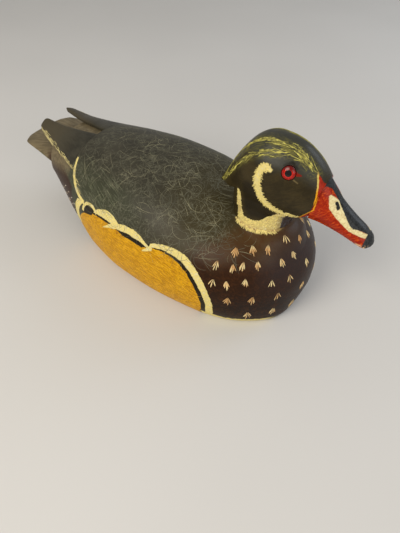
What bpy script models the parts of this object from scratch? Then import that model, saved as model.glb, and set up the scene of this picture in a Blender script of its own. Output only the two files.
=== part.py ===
"""A hollow wooden duck decoy, a drake with a swivelling head, lead ballast and an anchor-line ring.

The bird looks along +X, its left side is +Y, and it stands with its flat bottom on z = 0.
"""

import math

import bmesh
import bpy
import numpy as np
from mathutils import Matrix, Vector

MM = 0.001
GAP = 0.3 * MM

# Hull: station, half beam, height of the beam, top of the back, bottom, half width of the flat.
# The last two stations shape only the wing tips, which reach past the stern.
NOSE = 148 * MM
HULL = (
    np.array(
        [
            (148, 0, 35, 35, 35, 0),
            (145.5, 17, 35, 52, 15, 9),
            (140, 30, 35, 62.5, 3, 22),
            (132, 41, 34.5, 73.5, 0, 33),
            (120, 52.5, 34, 83, 0, 43),
            (100, 65.5, 34, 89.5, 0, 53),
            (70, 73.5, 34, 91, 0, 60),
            (20, 77, 34, 104, 0, 63),
            (-20, 75, 36, 106.5, 0, 60),
            (-60, 67, 42, 104.5, 0, 50),
            (-88, 58, 50, 101.5, 20, 40),
            (-110, 49, 58, 100, 44, 32),
            (-130, 41, 66, 99.5, 60, 26),
            (-160, 32, 74, 104, 68, 20),
        ]
    )
    * MM
)
STERN = -129.5 * MM
BOARD_TOP = 10 * MM

# Neck seat: a flat, round shelf on the back, which the head turns on.
NECK_X = 95.5 * MM
SEAT_Z = 90 * MM
SEAT_RADIUS = 25.5 * MM

# Head: height, front, back, half width, station of the greatest width.
HEAD = (
    np.array(
        [
            (90.3, 121, 70, 25.5, 95.5),
            (96, 122, 70.5, 24, 95),
            (102.4, 125.5, 69, 22.5, 94),
            (103.2, 126, 52, 22.3, 94),
            (106, 134, 53, 22, 94),
            (112, 142, 56, 22, 95),
            (120, 149, 60, 22.8, 96),
            (128, 150, 64, 23.2, 97),
            (134, 147, 67, 23, 98),
            (140, 142.5, 70.5, 22, 99),
            (146, 137.5, 74.5, 20.4, 99),
            (152, 131, 79, 17.2, 98),
            (156.5, 125, 83.5, 13.6, 98),
            (159.6, 119, 88.5, 10, 98),
            (161.3, 113, 94, 6, 99),
        ]
    )
    * MM
)
CROWN = Vector((102 * MM, 0, 162.1 * MM))
CREST_STARTS = 103 * MM
# The crest hangs clear behind the neck: radius kept for the neck, and (x, z) of its lower edge at the tip, with the rise.
NECK_RADIUS, CREST_TIP, CREST_RISE = 26.5 * MM, (52.5 * MM, 102.3 * MM), 0.6

# Bill: (x, z) of the ridge, (x, z) of the lower edge and half width, from the face to the tip.
BILL = (
    np.array(
        [
            (141.2, 140.6, 135, 104.4, 13.4),
            (148, 133.6, 142, 104.8, 12.4),
            (156.5, 125, 151, 104, 11.2),
            (167.5, 117.2, 162.5, 101.8, 10.2),
            (177, 111.4, 172.5, 99, 9.6),
            (182.8, 106.6, 180, 97, 7.6),
            (184.8, 103, 184, 98.6, 3.4),
        ]
    )
    * MM
)
BILL_TIP = Vector((185.2 * MM, 0, 101 * MM))

# Tail: station, half width, top and bottom of the fan, from the stern to its end.
TAIL = (
    np.array(
        [
            (-129.8, 37.5, 87, 60),
            (-140, 37, 83, 65.4),
            (-155, 35.5, 80.2, 70.4),
            (-168, 34, 79, 73),
            (-178, 31.5, 77.6, 73.8),
            (-183.4, 24, 77, 74.2),
        ]
    )
    * MM
)
TAIL_TIP = Vector((-185.2 * MM, 0, 75.6 * MM))

# Wing tips: blades as thick as WING_THICK that continue the back behind the rump step.
WING_STEP = -90 * MM
WING_END = -158 * MM
WING_THICK = 5 * MM

# Hollow in the upper body.
HOLLOW = (-50 * MM, 108 * MM)
HOLLOW_WALL = 10 * MM
HOLLOW_ROOF = 16 * MM

# Fittings.
EYE = Vector((117 * MM, 18.3 * MM, 146 * MM))
EYE_AIM = Vector((0.22, 1, 0.35)).normalized()
EYE_RADIUS = 5 * MM
FACE_MIDDLE = Vector((138.1 * MM, 0, 122.5 * MM))
FACE_AIM = Vector((36.2, 0, -6.2)).normalized()
BOLT_RADIUS = 3 * MM
ROOF_Z = 73.5 * MM
BALLAST = Vector((80 * MM, 42 * MM, 5 * MM))
BALLAST_X = 5 * MM
TIE_X = 121 * MM
TIE_Z = 3.6 * MM
TIE_POCKET = Vector((21 * MM, 27 * MM, 6.5 * MM))
# Screws: half of the head, half of the shank, length.
BOARD_SCREW = (3.6 * MM, 1.75 * MM, 26 * MM)
BALLAST_SCREW = (2.6 * MM, 1 * MM, 9 * MM)
BOARD_SCREWS = ((80, 53), (14, 58), (-48, 48.5))
BALLAST_SCREWS_X = (-23 * MM, 33 * MM)
BOARD_DOWELS_X = (134 * MM, -60 * MM)


# ---------------------------------------------------------------- helpers


def hermite(xs, ys):
    """A smooth curve through the points that never overshoots them."""
    order = np.argsort(xs)
    xs, ys = np.asarray(xs, float)[order], np.asarray(ys, float)[order]
    step, slope = np.diff(xs), np.diff(ys) / np.diff(xs)
    same_way = slope[:-1] * slope[1:] > 0
    with np.errstate(divide="ignore", invalid="ignore"):
        middle = (step[1:] + step[:-1]) * 3 / (
            (2 * step[1:] + step[:-1]) / slope[:-1] + (step[1:] + 2 * step[:-1]) / slope[1:]
        )
    tangent = np.concatenate([[slope[0]], np.where(same_way, middle, 0), [slope[-1]]])

    def at(x):
        x = np.clip(x, xs[0], xs[-1])
        i = np.clip(np.searchsorted(xs, x) - 1, 0, len(step) - 1)
        t = (x - xs[i]) / step[i]
        return (
            ys[i] * (1 + 2 * t) * (1 - t) ** 2
            + tangent[i] * step[i] * t * (1 - t) ** 2
            + ys[i + 1] * t * t * (3 - 2 * t)
            + tangent[i + 1] * step[i] * t * t * (t - 1)
        )

    return at


def columns(table, key):
    """One smooth curve for each column of a table after the first, which key turns into the parameter."""
    where = key(table[:, 0])
    return [hermite(where, column) for column in table[:, 1:].T]


def power(value, exponent):
    return np.sign(value) * np.abs(value) ** exponent


def material(name, colour, roughness, metallic=0.0):
    made = bpy.data.materials.new(name)
    made.use_nodes = True
    shader = made.node_tree.nodes["Principled BSDF"]
    shader.inputs["Base Color"].default_value = (*colour, 1)
    shader.inputs["Roughness"].default_value = roughness
    shader.inputs["Metallic"].default_value = metallic
    made.diffuse_color = (*colour, 1)
    return made


def collection(name):
    found = bpy.data.collections.get(name) or bpy.data.collections.new(name)
    if name not in bpy.context.scene.collection.children:
        bpy.context.scene.collection.children.link(found)
    return found


def add(name, bm, look=None, cuts=None):
    """The bmesh as an object: a part with a material, or a cutter in the collection of what it cuts."""
    bmesh.ops.recalc_face_normals(bm, faces=bm.faces[:])
    mesh = bpy.data.meshes.new(name)
    bm.to_mesh(mesh)
    bm.free()
    made = bpy.data.objects.new(name, mesh)
    collection(f"cuts_{cuts}" if cuts else "decoy").objects.link(made)
    if cuts:
        made.hide_render = True
        made.display_type = "WIRE"
    else:
        mesh.materials.append(look)
    return made


def loft(rings, start=None, end=None):
    """A closed skin over rings of equal length; each end is a fan to a point, or to the ring's middle."""
    bm = bmesh.new()
    made = [[bm.verts.new(point) for point in ring] for ring in rings]
    for ring, after in zip(made, made[1:]):
        for i in range(len(ring)):
            j = (i + 1) % len(ring)
            bm.faces.new((ring[i], ring[j], after[j], after[i]))
    for ring, point in ((made[0], start), (made[-1], end)):
        middle = sum((vert.co for vert in ring), Vector()) / len(ring)
        tip = bm.verts.new(point or middle)
        for i in range(len(ring)):
            bm.faces.new((ring[i], ring[(i + 1) % len(ring)], tip))
    return bm


def box(size, centre):
    bm = bmesh.new()
    bmesh.ops.create_cube(bm, size=1, matrix=Matrix.LocRotScale(centre, None, size))
    return bm


def rod(radius, length, centre, direction=(0, 0, 1), segments=32, end_radius=None):
    """A cylinder, or a cone, with its middle at centre and its axis along direction."""
    bm = bmesh.new()
    turn = Vector((0, 0, 1)).rotation_difference(Vector(direction)).to_matrix().to_4x4()
    bmesh.ops.create_cone(
        bm,
        cap_ends=True,
        segments=segments,
        radius1=radius,
        radius2=radius if end_radius is None else end_radius,
        depth=length,
        matrix=Matrix.Translation(centre) @ turn,
    )
    return bm


def cut_by(part, name):
    """Cuts from the part everything in the collection of that name's cutters."""
    boolean = part.modifiers.new("cuts", "BOOLEAN")
    boolean.operation = "DIFFERENCE"
    boolean.solver = "EXACT"
    boolean.operand_type = "COLLECTION"
    boolean.collection = collection(f"cuts_{name}")


def turned(name, profile, look=None, cuts=None, segments=32):
    """A solid of revolution about z from (radius, height) points that start and end on the axis."""
    bm = bmesh.new()
    verts = [bm.verts.new((radius, 0, height)) for radius, height in profile]
    for one, other in zip(verts, verts[1:]):
        bm.edges.new((one, other))
    made = add(name, bm, look, cuts)
    screw = made.modifiers.new("turn", "SCREW")
    screw.steps = screw.render_steps = segments
    screw.use_merge_vertices = True
    screw.merge_threshold = 0.00001
    screw.use_normal_flip = True
    return made


# ---------------------------------------------------------------- hull shapes


def from_nose(x):
    """Parameter that grows with the root of the distance from the nose, which keeps the breast round."""
    return np.sqrt(np.maximum(NOSE - x, 0) / MM)


HULL_CURVES = columns(HULL, from_nose)


def hull_half(x, inset=0.0, count=11):
    """(y, z) of the right-hand half of a hull section, from its keel to its ridge, moved inward by inset."""
    beam, beam_z, top, bottom, flat = (curve(from_nose(x)) for curve in HULL_CURVES)
    beam, top, bottom = max(beam - inset, 0), top - inset, bottom + inset
    flat = min(flat, 0.95 * beam)
    turn = np.linspace(0, math.pi / 2, count)
    low_y = flat + (beam - flat) * np.sin(turn) ** 0.8
    low_z = beam_z - (beam_z - bottom) * np.cos(turn) ** 0.8
    high_y = beam * np.cos(turn) ** 0.86
    high_z = beam_z + (top - beam_z) * np.sin(turn) ** 0.95
    y = np.concatenate([[0], low_y, high_y[1:]])
    z = np.concatenate([[low_z[0]], low_z, high_z[1:]])
    y[-1] = 0
    return y, z


def ring_of(x, y, z):
    """A whole ring from the right-hand half of a section, at one station."""
    right = [Vector((x, -a, b)) for a, b in zip(y, z)]
    left = [Vector((x, a, b)) for a, b in zip(y, z)][1:-1]
    return right + left[::-1]


def hull_rings(count=26):
    reach = from_nose(STERN)
    return [
        ring_of(x, *hull_half(x)) for x in NOSE - MM * np.linspace(0.02 * reach, reach, count) ** 2
    ]


def hull(name, look):
    return add(name, loft(hull_rings(), start=Vector((NOSE, 0, HULL[0, 2]))), look)


def wing_edges(x):
    """Distances of a wing blade's inner and outer edge from the middle plane, at a station."""
    along = (x - WING_STEP) / (WING_END - WING_STEP)
    return (5 + 8 * along) * MM, (46 - 23 * along) * MM


def wing_ring(x, side, outer, inner):
    """Closed outline of a wing blade's section, between the hull's skin at two insets."""

    def stretch(inset, count=10):
        y, z = hull_half(x, inset, count=60)
        y, z = y[60:], z[60:]
        near, far = wing_edges(x)
        at = np.linspace(far, near, count)
        return [Vector((x, side * a, np.interp(-a, -y, z))) for a in at]

    return stretch(outer) + stretch(inner)[::-1]


def wing_skin(side, first, last, outer, inner, count=14):
    return loft([wing_ring(x, side, outer, inner) for x in np.linspace(first, last, count)])


# ---------------------------------------------------------------- body


def screw_profile(size, grow=0.0):
    """Half outline of a countersunk screw that points up; grown, it is the hole for that screw."""
    head, shank, length = size
    rim = 0.7 * MM
    under = rim + head - shank + grow
    foot = -1 * MM if grow else 0.4 * MM
    return [
        (0, foot),
        (head + 2 * grow, foot),
        (head + 2 * grow, rim),
        (shank + grow, under),
        (shank + grow, length - 2 * MM + 3 * grow),
        (0, length + 3 * grow),
    ]


def screw_cut(name, place, size, cuts):
    made = turned(name, screw_profile(size, GAP), cuts=cuts, segments=20)
    made.location = place


def wood_screw(name, place, size, look):
    """A slotted countersunk wood screw with its head down, in the bottom of what it holds."""
    made = turned(name, screw_profile(size), look, segments=20)
    made.location = place
    slot = box((2.4 * size[0], 0.8 * MM, 1.6 * MM), (0, 0, 0.4 * MM))
    slot = add(f"{name}_slot", slot, cuts=name)
    slot.location = place
    cut_by(made, name)


def staple_bore(leg):
    return rod(1.3 * MM, 17 * MM, (TIE_X + leg * 2.6 * MM, 0, 11.5 * MM), segments=16)


def wing_pin(side, grow=0.0):
    """The pin through the butt joint of a wing tip, or its bore."""

    def middle(x):
        near, far = wing_edges(x)
        y, z = hull_half(x, WING_THICK / 2, count=60)
        across = (near + far) / 2
        return Vector((x, side * across, np.interp(-across, -y[60:], z[60:])))

    reach = 9 * MM
    ahead, behind = middle(WING_STEP + reach), middle(WING_STEP - reach)
    length = (ahead - behind).length + 2 * grow
    return rod(1 * MM + grow, length, (ahead + behind) / 2, ahead - behind, segments=16)


def hollow_skin():
    """The space bored out of the upper body, with straight walls and an arched roof."""
    flat_at, top_at = HULL_CURVES[4], HULL_CURVES[2]
    turn = np.linspace(0, math.pi / 2, 12)
    rings = []
    for x in np.linspace(*HOLLOW, 24):
        half = flat_at(from_nose(x)) - HOLLOW_WALL
        roof = top_at(from_nose(x)) - HOLLOW_ROOF
        spring = 36 * MM
        y = np.concatenate([[0, half], half * np.cos(turn)])
        z = np.concatenate([[BOARD_TOP - MM] * 2, spring + (roof - spring) * np.sin(turn)])
        y[-1] = 0
        rings.append(ring_of(x, y, z))
    return loft(rings)


def rump_skin():
    """What the rump step takes off the back behind WING_STEP, for the wing tips to lie in."""

    def ring(x):
        far = wing_edges(x)[1] + GAP
        y, z = hull_half(x, -6 * MM, count=60)
        low_y, low_z = hull_half(x, WING_THICK + GAP, count=60)
        across = np.linspace(far, -far, 25)
        upper = [Vector((x, a, np.interp(-abs(a), -y[60:], z[60:]))) for a in across]
        lower = [Vector((x, a, np.interp(-abs(a), -low_y[60:], low_z[60:]))) for a in across]
        return upper + lower[::-1]

    return loft([ring(x) for x in np.linspace(WING_STEP, STERN - 5 * MM, 14)])


def board_screw_places():
    for number, (x, y) in enumerate(BOARD_SCREWS):
        for side, word in ((1, "left"), (-1, "right")):
            yield f"board_screw_{number + 1}_{word}", Vector((x * MM, side * y * MM, 0))


def build_upper_body(look):
    """The hollowed block above the bottom board, with the neck seat, the rump step and its bores."""
    body = hull("body_upper", look)
    seat = turned(
        "neck_seat",
        [
            (0, 70 * MM),
            (40 * MM, 70 * MM),
            (34 * MM, 82 * MM),
            (29.5 * MM, 86 * MM),
            (26.6 * MM, 88 * MM),
            (SEAT_RADIUS, SEAT_Z),
            (0, SEAT_Z),
        ],
        cuts="seat",
        segments=64,
    )
    seat.location = (NECK_X, 0, 0)
    union = body.modifiers.new("seat", "BOOLEAN")
    union.operation = "UNION"
    union.solver = "EXACT"
    union.object = seat

    low = Vector((500 * MM, 300 * MM, 100 * MM))
    add("below_seam", box(low, (0, 0, BOARD_TOP - low.z / 2)), cuts="body_upper")
    add("hollow", hollow_skin(), cuts="body_upper")
    add("rump_step", rump_skin(), cuts="body_upper")
    add("neck_bore", rod(BOLT_RADIUS + 0.5 * MM, 60 * MM, (NECK_X, 0, SEAT_Z)), cuts="body_upper")
    shelf = rod(SEAT_RADIUS + 1 * MM, 20 * MM, (NECK_X, 0, SEAT_Z + 10 * MM), segments=64)
    add("neck_shelf", shelf, cuts="body_upper")
    spot = rod(11 * MM, 20 * MM, (NECK_X, 0, ROOF_Z - 10 * MM))
    add("spot_face", spot, cuts="body_upper")
    recess = rod(15.3 * MM, 1.2 * MM, (NECK_X, 0, SEAT_Z), segments=48)
    add("washer_recess", recess, cuts="body_upper")
    for name, place in board_screw_places():
        screw_cut(f"{name}_bore", place, BOARD_SCREW, "body_upper")
    for number, x in enumerate(BOARD_DOWELS_X):
        bore = rod(4.3 * MM, 33 * MM, (x, 0, BOARD_TOP))
        add(f"board_dowel_{number}_bore", bore, cuts="body_upper")
    for side in (-1, 1):
        add(f"wing_bore_{side}", wing_pin(side, GAP), cuts="body_upper")
        bore = rod(3.3 * MM, 29 * MM, (STERN, side * 14 * MM, 77 * MM), (1, 0, 0))
        add(f"tail_bore_{side}", bore, cuts="body_upper")
        add(f"staple_bore_{side}", staple_bore(side), cuts="body_upper")
    cut_by(body, "body_upper")


def build_bottom_board(look):
    board = hull("bottom_board", look)
    high = Vector((500 * MM, 300 * MM, 200 * MM))
    add("above_seam", box(high, (0, 0, BOARD_TOP - GAP + high.z / 2)), cuts="bottom_board")
    pocket = BALLAST + Vector((GAP, GAP, 1 * MM)) * 2
    centre = Vector((BALLAST_X, 0, BALLAST.z + GAP - pocket.z / 2))
    add("ballast_pocket", rounded_box(pocket, centre, 4 * MM), cuts="bottom_board")
    pocket = TIE_POCKET + Vector((0, 0, 1 * MM))
    centre = Vector((TIE_X - 4.5 * MM, 0, TIE_POCKET.z - pocket.z / 2))
    add("line_tie_pocket", rounded_box(pocket, centre, 4 * MM), cuts="bottom_board")
    for name, place in board_screw_places():
        screw_cut(f"{name}_hole", place, BOARD_SCREW, "bottom_board")
    for number, x in enumerate(BALLAST_SCREWS_X):
        screw_cut(f"ballast_screw_{number}_bore", Vector((x, 0, 0)), BALLAST_SCREW, "bottom_board")
    for number, x in enumerate(BOARD_DOWELS_X):
        bore = rod(4.3 * MM, 20 * MM, (x, 0, 5 * MM - GAP + 10 * MM))
        add(f"board_dowel_{number}_socket", bore, cuts="bottom_board")
    for leg in (-1, 1):
        add(f"staple_hole_{leg}", staple_bore(leg), cuts="bottom_board")
    cut_by(board, "bottom_board")


def rounded_box(size, centre, radius):
    """A box with its four upright edges rounded."""
    bm = box(size, centre)
    upright = [edge for edge in bm.edges if abs((edge.verts[0].co - edge.verts[1].co).z) > size.z / 2]
    bmesh.ops.bevel(bm, geom=upright, offset=radius, segments=6, profile=0.5, affect="EDGES")
    return bm


def build_ballast(look):
    low = 0.3 * MM
    size = Vector((BALLAST.x, BALLAST.y, BALLAST.z - low))
    slab = rounded_box(size, Vector((BALLAST_X, 0, low + size.z / 2)), 3.5 * MM)
    weight = add("ballast_weight", slab, look)
    for number, x in enumerate(BALLAST_SCREWS_X):
        screw_cut(f"ballast_screw_{number}_hole", Vector((x, 0, 0)), BALLAST_SCREW, "ballast_weight")
    cut_by(weight, "ballast_weight")


# ---------------------------------------------------------------- tail and wings


def build_tail(look):
    """The fan, which starts as thick as the stern and thins to a round edge."""
    half_at, top_at, bottom_at = columns(TAIL, lambda x: -x)
    turn = np.linspace(0, 2 * math.pi, 40, endpoint=False)
    first, last = -TAIL[0, 0], -TAIL[-1, 0]
    rings = []
    for x in last - (last - first) * np.linspace(1, 0, 16) ** 1.6:
        half, top, bottom = half_at(x), top_at(x), bottom_at(x)
        middle = bottom + 0.35 * (top - bottom)
        y = half * power(np.cos(turn), 0.86)
        rise = np.where(np.sin(turn) > 0, top - middle, middle - bottom)
        z = middle + rise * power(np.sin(turn), 0.95)
        rings.append([Vector((-x, a, b)) for a, b in zip(y, z)])
    tail = add("tail", loft(rings, end=TAIL_TIP), look)
    for side in (-1, 1):
        bore = rod(3.3 * MM, 29 * MM, (STERN, side * 14 * MM, 77 * MM), (1, 0, 0))
        add(f"tail_socket_{side}", bore, cuts="tail")
    cut_by(tail, "tail")


def build_wing_tip(side, word, look):
    name = f"wing_tip_{word}"
    blade = wing_skin(side, WING_STEP - GAP, WING_END, 0, WING_THICK)
    blade = add(name, blade, look)
    add(f"{name}_bore", wing_pin(side, GAP), cuts=name)
    cut_by(blade, name)


# ---------------------------------------------------------------- head


def head_ring(z, turns):
    """Outline of the head at one height; behind its widest station it narrows to the crest."""
    front, back, half, middle = (curve(z) for curve in HEAD_CURVES)
    top = HEAD[-1, 0]
    closing = math.sqrt(min(1, (CROWN.z - z) / (CROWN.z - top)))
    front, back, middle = (CROWN.x + (x - CROWN.x) * closing for x in (front, back, middle))
    half *= closing
    rise = (z - CREST_STARTS) / (CROWN.z - CREST_STARTS)
    pinch = 1.0 if rise < 0 else 1 + 2.5 * (1 - rise) ** 6
    ring = []
    for turn in turns:
        ahead = math.cos(turn)
        reach = front - middle if ahead > 0 else middle - back
        sharp = 1.0 if ahead > 0 else 1 + (pinch - 1) * ahead * ahead
        across = power(math.sin(turn), sharp)
        ring.append(Vector((middle + reach * ahead, half * across, z)))
    return ring


HEAD_CURVES = columns(HEAD, lambda z: z)


def under_crest():
    """The free space below the crest's sloping lower edge, round the back of the neck."""
    rings = []
    for angle in np.linspace(math.radians(105), math.radians(255), 25):
        out = Vector((math.cos(angle), math.sin(angle), 0))
        far = min(60 * MM, (NECK_X - CREST_TIP[0]) / -out.x)
        near, away = (Vector((NECK_X, 0, 0)) + out * reach for reach in (NECK_RADIUS, far))
        low = CREST_TIP[1] - 0.1 * MM
        ring = [(near, low), (away, low)]
        ring += [(point, CREST_TIP[1] + CREST_RISE * (point.x - CREST_TIP[0])) for point in (away, near)]
        rings.append([Vector((point.x, point.y, z)) for point, z in ring])
    return loft(rings)


def build_head(look):
    turns = np.linspace(0, 2 * math.pi, 44, endpoint=False)
    low, high = HEAD[0, 0], CREST_STARTS + 0.2 * MM
    dome = 148 * MM
    levels = [
        *np.linspace(low, CREST_STARTS - 0.6 * MM, 6),
        *np.linspace(high, dome, 14),
        *(CROWN.z - (CROWN.z - dome) * np.linspace(0.93, 0.06, 10) ** 2),
    ]
    head = add("head", loft([head_ring(z, turns) for z in levels], end=CROWN), look)

    ahead = Vector((60 * MM, 80 * MM, 120 * MM))
    face = box(ahead, (0, 0, 0))
    turn = Vector((1, 0, 0)).rotation_difference(FACE_AIM).to_matrix().to_4x4()
    face.transform(Matrix.Translation(FACE_MIDDLE + FACE_AIM * ahead.x / 2) @ turn)
    add("face", face, cuts="head")
    bore = rod(3.3 * MM, 24 * MM, FACE_MIDDLE, FACE_AIM)
    add("bill_dowel_socket", bore, cuts="head")
    bore = rod(BOLT_RADIUS + GAP, 60 * MM, (NECK_X, 0, SEAT_Z))
    add("bolt_bore", bore, cuts="head")
    recess = rod(15.3 * MM, 1.2 * MM, (NECK_X, 0, SEAT_Z + GAP), segments=48)
    add("washer_seat", recess, cuts="head")
    add("crest_notch", under_crest(), cuts="head")
    for side in (-1, 1):
        aim = Vector((EYE_AIM.x, side * EYE_AIM.y, EYE_AIM.z))
        centre = Vector((EYE.x, side * EYE.y, EYE.z))
        socket = rod(EYE_RADIUS + GAP, 20 * MM, centre + aim * 6 * MM, aim, segments=48)
        add(f"eye_socket_{side}", socket, cuts="head")
    cut_by(head, "head")


def build_bill(look):
    """Rings that lean with the face at the root and turn upright towards the nail."""
    turns = np.linspace(0, 2 * math.pi, 32, endpoint=False)
    steps = np.linspace(0, 1, len(BILL))
    ridge_x, ridge_z, jaw_x, jaw_z, half = (hermite(steps, column) for column in BILL.T)
    rings = []
    for step in 1 - np.linspace(1, 0, 20) ** 1.3:
        ridge = Vector((ridge_x(step), 0, ridge_z(step)))
        jaw = Vector((jaw_x(step), 0, jaw_z(step)))
        middle, rise = (ridge + jaw) / 2, (ridge - jaw) / 2
        ring = []
        for turn in turns:
            up, out = power(math.sin(turn), 0.85), power(math.cos(turn), 0.8)
            narrow = 1 - 0.3 * max(up, 0)
            ring.append(middle + rise * up + Vector((0, half(step) * out * narrow, 0)))
        rings.append([point + FACE_AIM * GAP for point in ring])
    bill = add("bill", loft(rings, end=BILL_TIP), look)
    bore = rod(3.3 * MM, 24 * MM, FACE_MIDDLE, FACE_AIM)
    add("bill_socket", bore, cuts="bill")
    cut_by(bill, "bill")


def build_eye(side, word, looks):
    """A painted disc with a glass dome over it."""
    aim = Vector((EYE_AIM.x, side * EYE_AIM.y, EYE_AIM.z))
    turn = Vector((0, 0, 1)).rotation_difference(aim)
    centre = Vector((EYE.x, side * EYE.y, EYE.z))
    disc = [(0, -3.7 * MM), (EYE_RADIUS, -3.7 * MM), (EYE_RADIUS, -2 * MM), (0, -2 * MM)]
    rim, apex = -0.6 * MM, 1.5 * MM
    arc = [
        (EYE_RADIUS * math.cos(a), rim + (apex - rim) * math.sin(a))
        for a in np.linspace(0, math.pi / 2, 9)
    ]
    arc[-1] = (0, apex)
    dome = [(0, -1.7 * MM), (EYE_RADIUS, -1.7 * MM), *arc]
    for kind, profile in (("iris", disc), ("lens", dome)):
        piece = turned(f"eye_{kind}_{word}", profile, looks[kind], segments=28)
        piece.rotation_mode = "QUATERNION"
        piece.rotation_quaternion = turn
        piece.location = centre


# ---------------------------------------------------------------- fittings


def ring_part(name, outer, inner, low, high, place, look, hexagon=False, segments=36):
    """A flat washer about z at place, or a nut whose outer corners lie at the outer radius."""
    sixth = math.pi / 3
    bm = bmesh.new()
    loops = []
    for radius, height in ((inner, low), (outer, low), (outer, high), (inner, high)):
        loop = []
        for a in np.linspace(0, 2 * math.pi, segments, endpoint=False):
            to_flat = math.cos(sixth / 2) / math.cos(a % sixth - sixth / 2)
            reach = radius * (to_flat if hexagon and radius == outer else 1)
            loop.append(bm.verts.new((reach * math.cos(a), reach * math.sin(a), height)))
        loops.append(loop)
    for loop, after in zip(loops, loops[1:] + loops[:1]):
        for i in range(segments):
            j = (i + 1) % segments
            bm.faces.new((loop[i], loop[j], after[j], after[i]))
    made = add(name, bm, look)
    made.location = place


def build_neck_fittings(looks):
    axis = Vector((NECK_X, 0, 0))
    hole = BOLT_RADIUS + GAP
    low, high = 60.5 * MM, 119 * MM
    add("neck_bolt", rod(BOLT_RADIUS, high - low, axis + Vector((0, 0, (low + high) / 2))), looks["steel"])
    below = ROOF_Z - GAP
    ring_part("neck_friction_washer", 15 * MM, 4 * MM, SEAT_Z - GAP, SEAT_Z + 2 * GAP, axis, looks["leather"])
    ring_part("neck_plate_washer", 10 * MM, hole, below - 1.5 * MM, below, axis, looks["steel"])
    below -= 1.5 * MM + GAP
    ring_part("neck_spring_washer", 5.5 * MM, hole, below - 1.6 * MM, below, axis, looks["steel"])
    below -= 1.6 * MM + GAP
    ring_part("neck_nut", 5.8 * MM, hole, below - 5.5 * MM, below, axis, looks["steel"], hexagon=True)


def wire(name, points, radius, look, closed=False):
    """A round wire along a poly curve."""
    curve = bpy.data.curves.new(name, "CURVE")
    curve.dimensions = "3D"
    curve.bevel_depth = radius
    curve.bevel_resolution = 3
    curve.use_fill_caps = True
    spline = curve.splines.new("POLY")
    spline.points.add(len(points) - 1)
    for spot, point in zip(spline.points, points):
        spot.co = (*point, 1)
    spline.use_cyclic_u = closed
    made = bpy.data.objects.new(name, curve)
    collection("decoy").objects.link(made)
    curve.materials.append(look)
    return made


def arc_points(centre, radius, first, last, count):
    """Points of an arc in a plane, as (along, across) pairs."""
    angles = np.linspace(math.radians(first), math.radians(last), count)
    return [(centre[0] + radius * math.cos(a), centre[1] + radius * math.sin(a)) for a in angles]


def build_line_tie(look):
    """A D-shaped ring whose straight side turns in a staple; the ring lies flat in its pocket."""
    half, corner, reach = 9 * MM, 2.5 * MM, 13 * MM
    bow = half
    outline = [
        *arc_points((-corner, half - corner), corner, 0, 90, 6),
        *[(-(reach - bow) + x, y) for x, y in arc_points((0, 0), bow, 90, 270, 21)],
        *arc_points((-corner, corner - half), corner, 270, 360, 6),
    ]
    ring = wire("line_tie_ring", [(x, y, 0) for x, y in outline], 1.1 * MM, look, closed=True)
    ring.location = (TIE_X, 0, TIE_Z)

    gap, bend, top = 2.6 * MM, 1.6 * MM, 19 * MM
    crown = TIE_Z - 2.4 * MM
    outline = [
        (-gap, top),
        *arc_points((bend - gap, crown + bend), bend, 180, 270, 7),
        *arc_points((gap - bend, crown + bend), bend, 270, 360, 7),
        (gap, top),
    ]
    wire("line_tie_staple", [(TIE_X + x, 0, z) for x, z in outline], 1 * MM, look)


def build_fasteners(looks):
    for name, place in board_screw_places():
        wood_screw(name, place, BOARD_SCREW, looks["brass"])
    for number, x in enumerate(BALLAST_SCREWS_X):
        wood_screw(f"ballast_screw_{number + 1}", Vector((x, 0, 0)), BALLAST_SCREW, looks["brass"])
    for word, x in zip(("front", "rear"), BOARD_DOWELS_X):
        dowel = rod(4 * MM, 20.7 * MM, (x, 0, 5 * MM + 10.35 * MM))
        add(f"board_dowel_{word}", dowel, looks["dowel"])
    for side, word in ((1, "left"), (-1, "right")):
        dowel = rod(3 * MM, 28 * MM, (STERN, side * 14 * MM, 77 * MM), (1, 0, 0))
        add(f"tail_dowel_{word}", dowel, looks["dowel"])
        add(f"wing_pin_{word}", wing_pin(side), looks["dowel"])
    add("bill_dowel", rod(3 * MM, 23 * MM, FACE_MIDDLE, FACE_AIM), looks["dowel"])


def main():
    for old in list(bpy.data.objects):
        bpy.data.objects.remove(old, do_unlink=True)
    paint = {
        "body": material("dark_body_paint", (0.035, 0.034, 0.03), 0.5),
        "board": material("sealed_pine", (0.42, 0.29, 0.16), 0.6),
        "tail": material("grey_tail_paint", (0.2, 0.18, 0.15), 0.55),
        "wing": material("dark_wing_paint", (0.05, 0.05, 0.042), 0.5),
        "head": material("dark_head_paint", (0.03, 0.035, 0.02), 0.45),
        "bill": material("red_bill_paint", (0.55, 0.07, 0.015), 0.4),
    }
    looks = {
        "iris": material("red_iris", (0.6, 0.01, 0.01), 0.35),
        "lens": material("eye_glass", (0.9, 0.9, 0.9), 0.05),
        "steel": material("zinc_steel", (0.55, 0.56, 0.58), 0.35, 1.0),
        "leather": material("leather", (0.25, 0.13, 0.06), 0.7),
        "brass": material("brass", (0.7, 0.5, 0.2), 0.35, 1.0),
        "dowel": material("birch", (0.6, 0.45, 0.28), 0.6),
    }
    build_upper_body(paint["body"])
    build_bottom_board(paint["board"])
    build_ballast(material("lead", (0.2, 0.2, 0.22), 0.6, 0.9))
    build_tail(paint["tail"])
    build_head(paint["head"])
    build_bill(paint["bill"])
    for side, word in ((1, "left"), (-1, "right")):
        build_wing_tip(side, word, paint["wing"])
        build_eye(side, word, looks)
    build_neck_fittings(looks)
    build_line_tie(looks["brass"])
    build_fasteners(looks)


if __name__ == "__main__":
    main()
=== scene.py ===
"""A painted wooden drake decoy: its carved pieces, its paint, and a plain stage for it.

Lengths in the tables are millimetres. The bird looks along +X, its left side is +Y, and its flat bottom lies on z = 0.
"""

import math
import random

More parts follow.
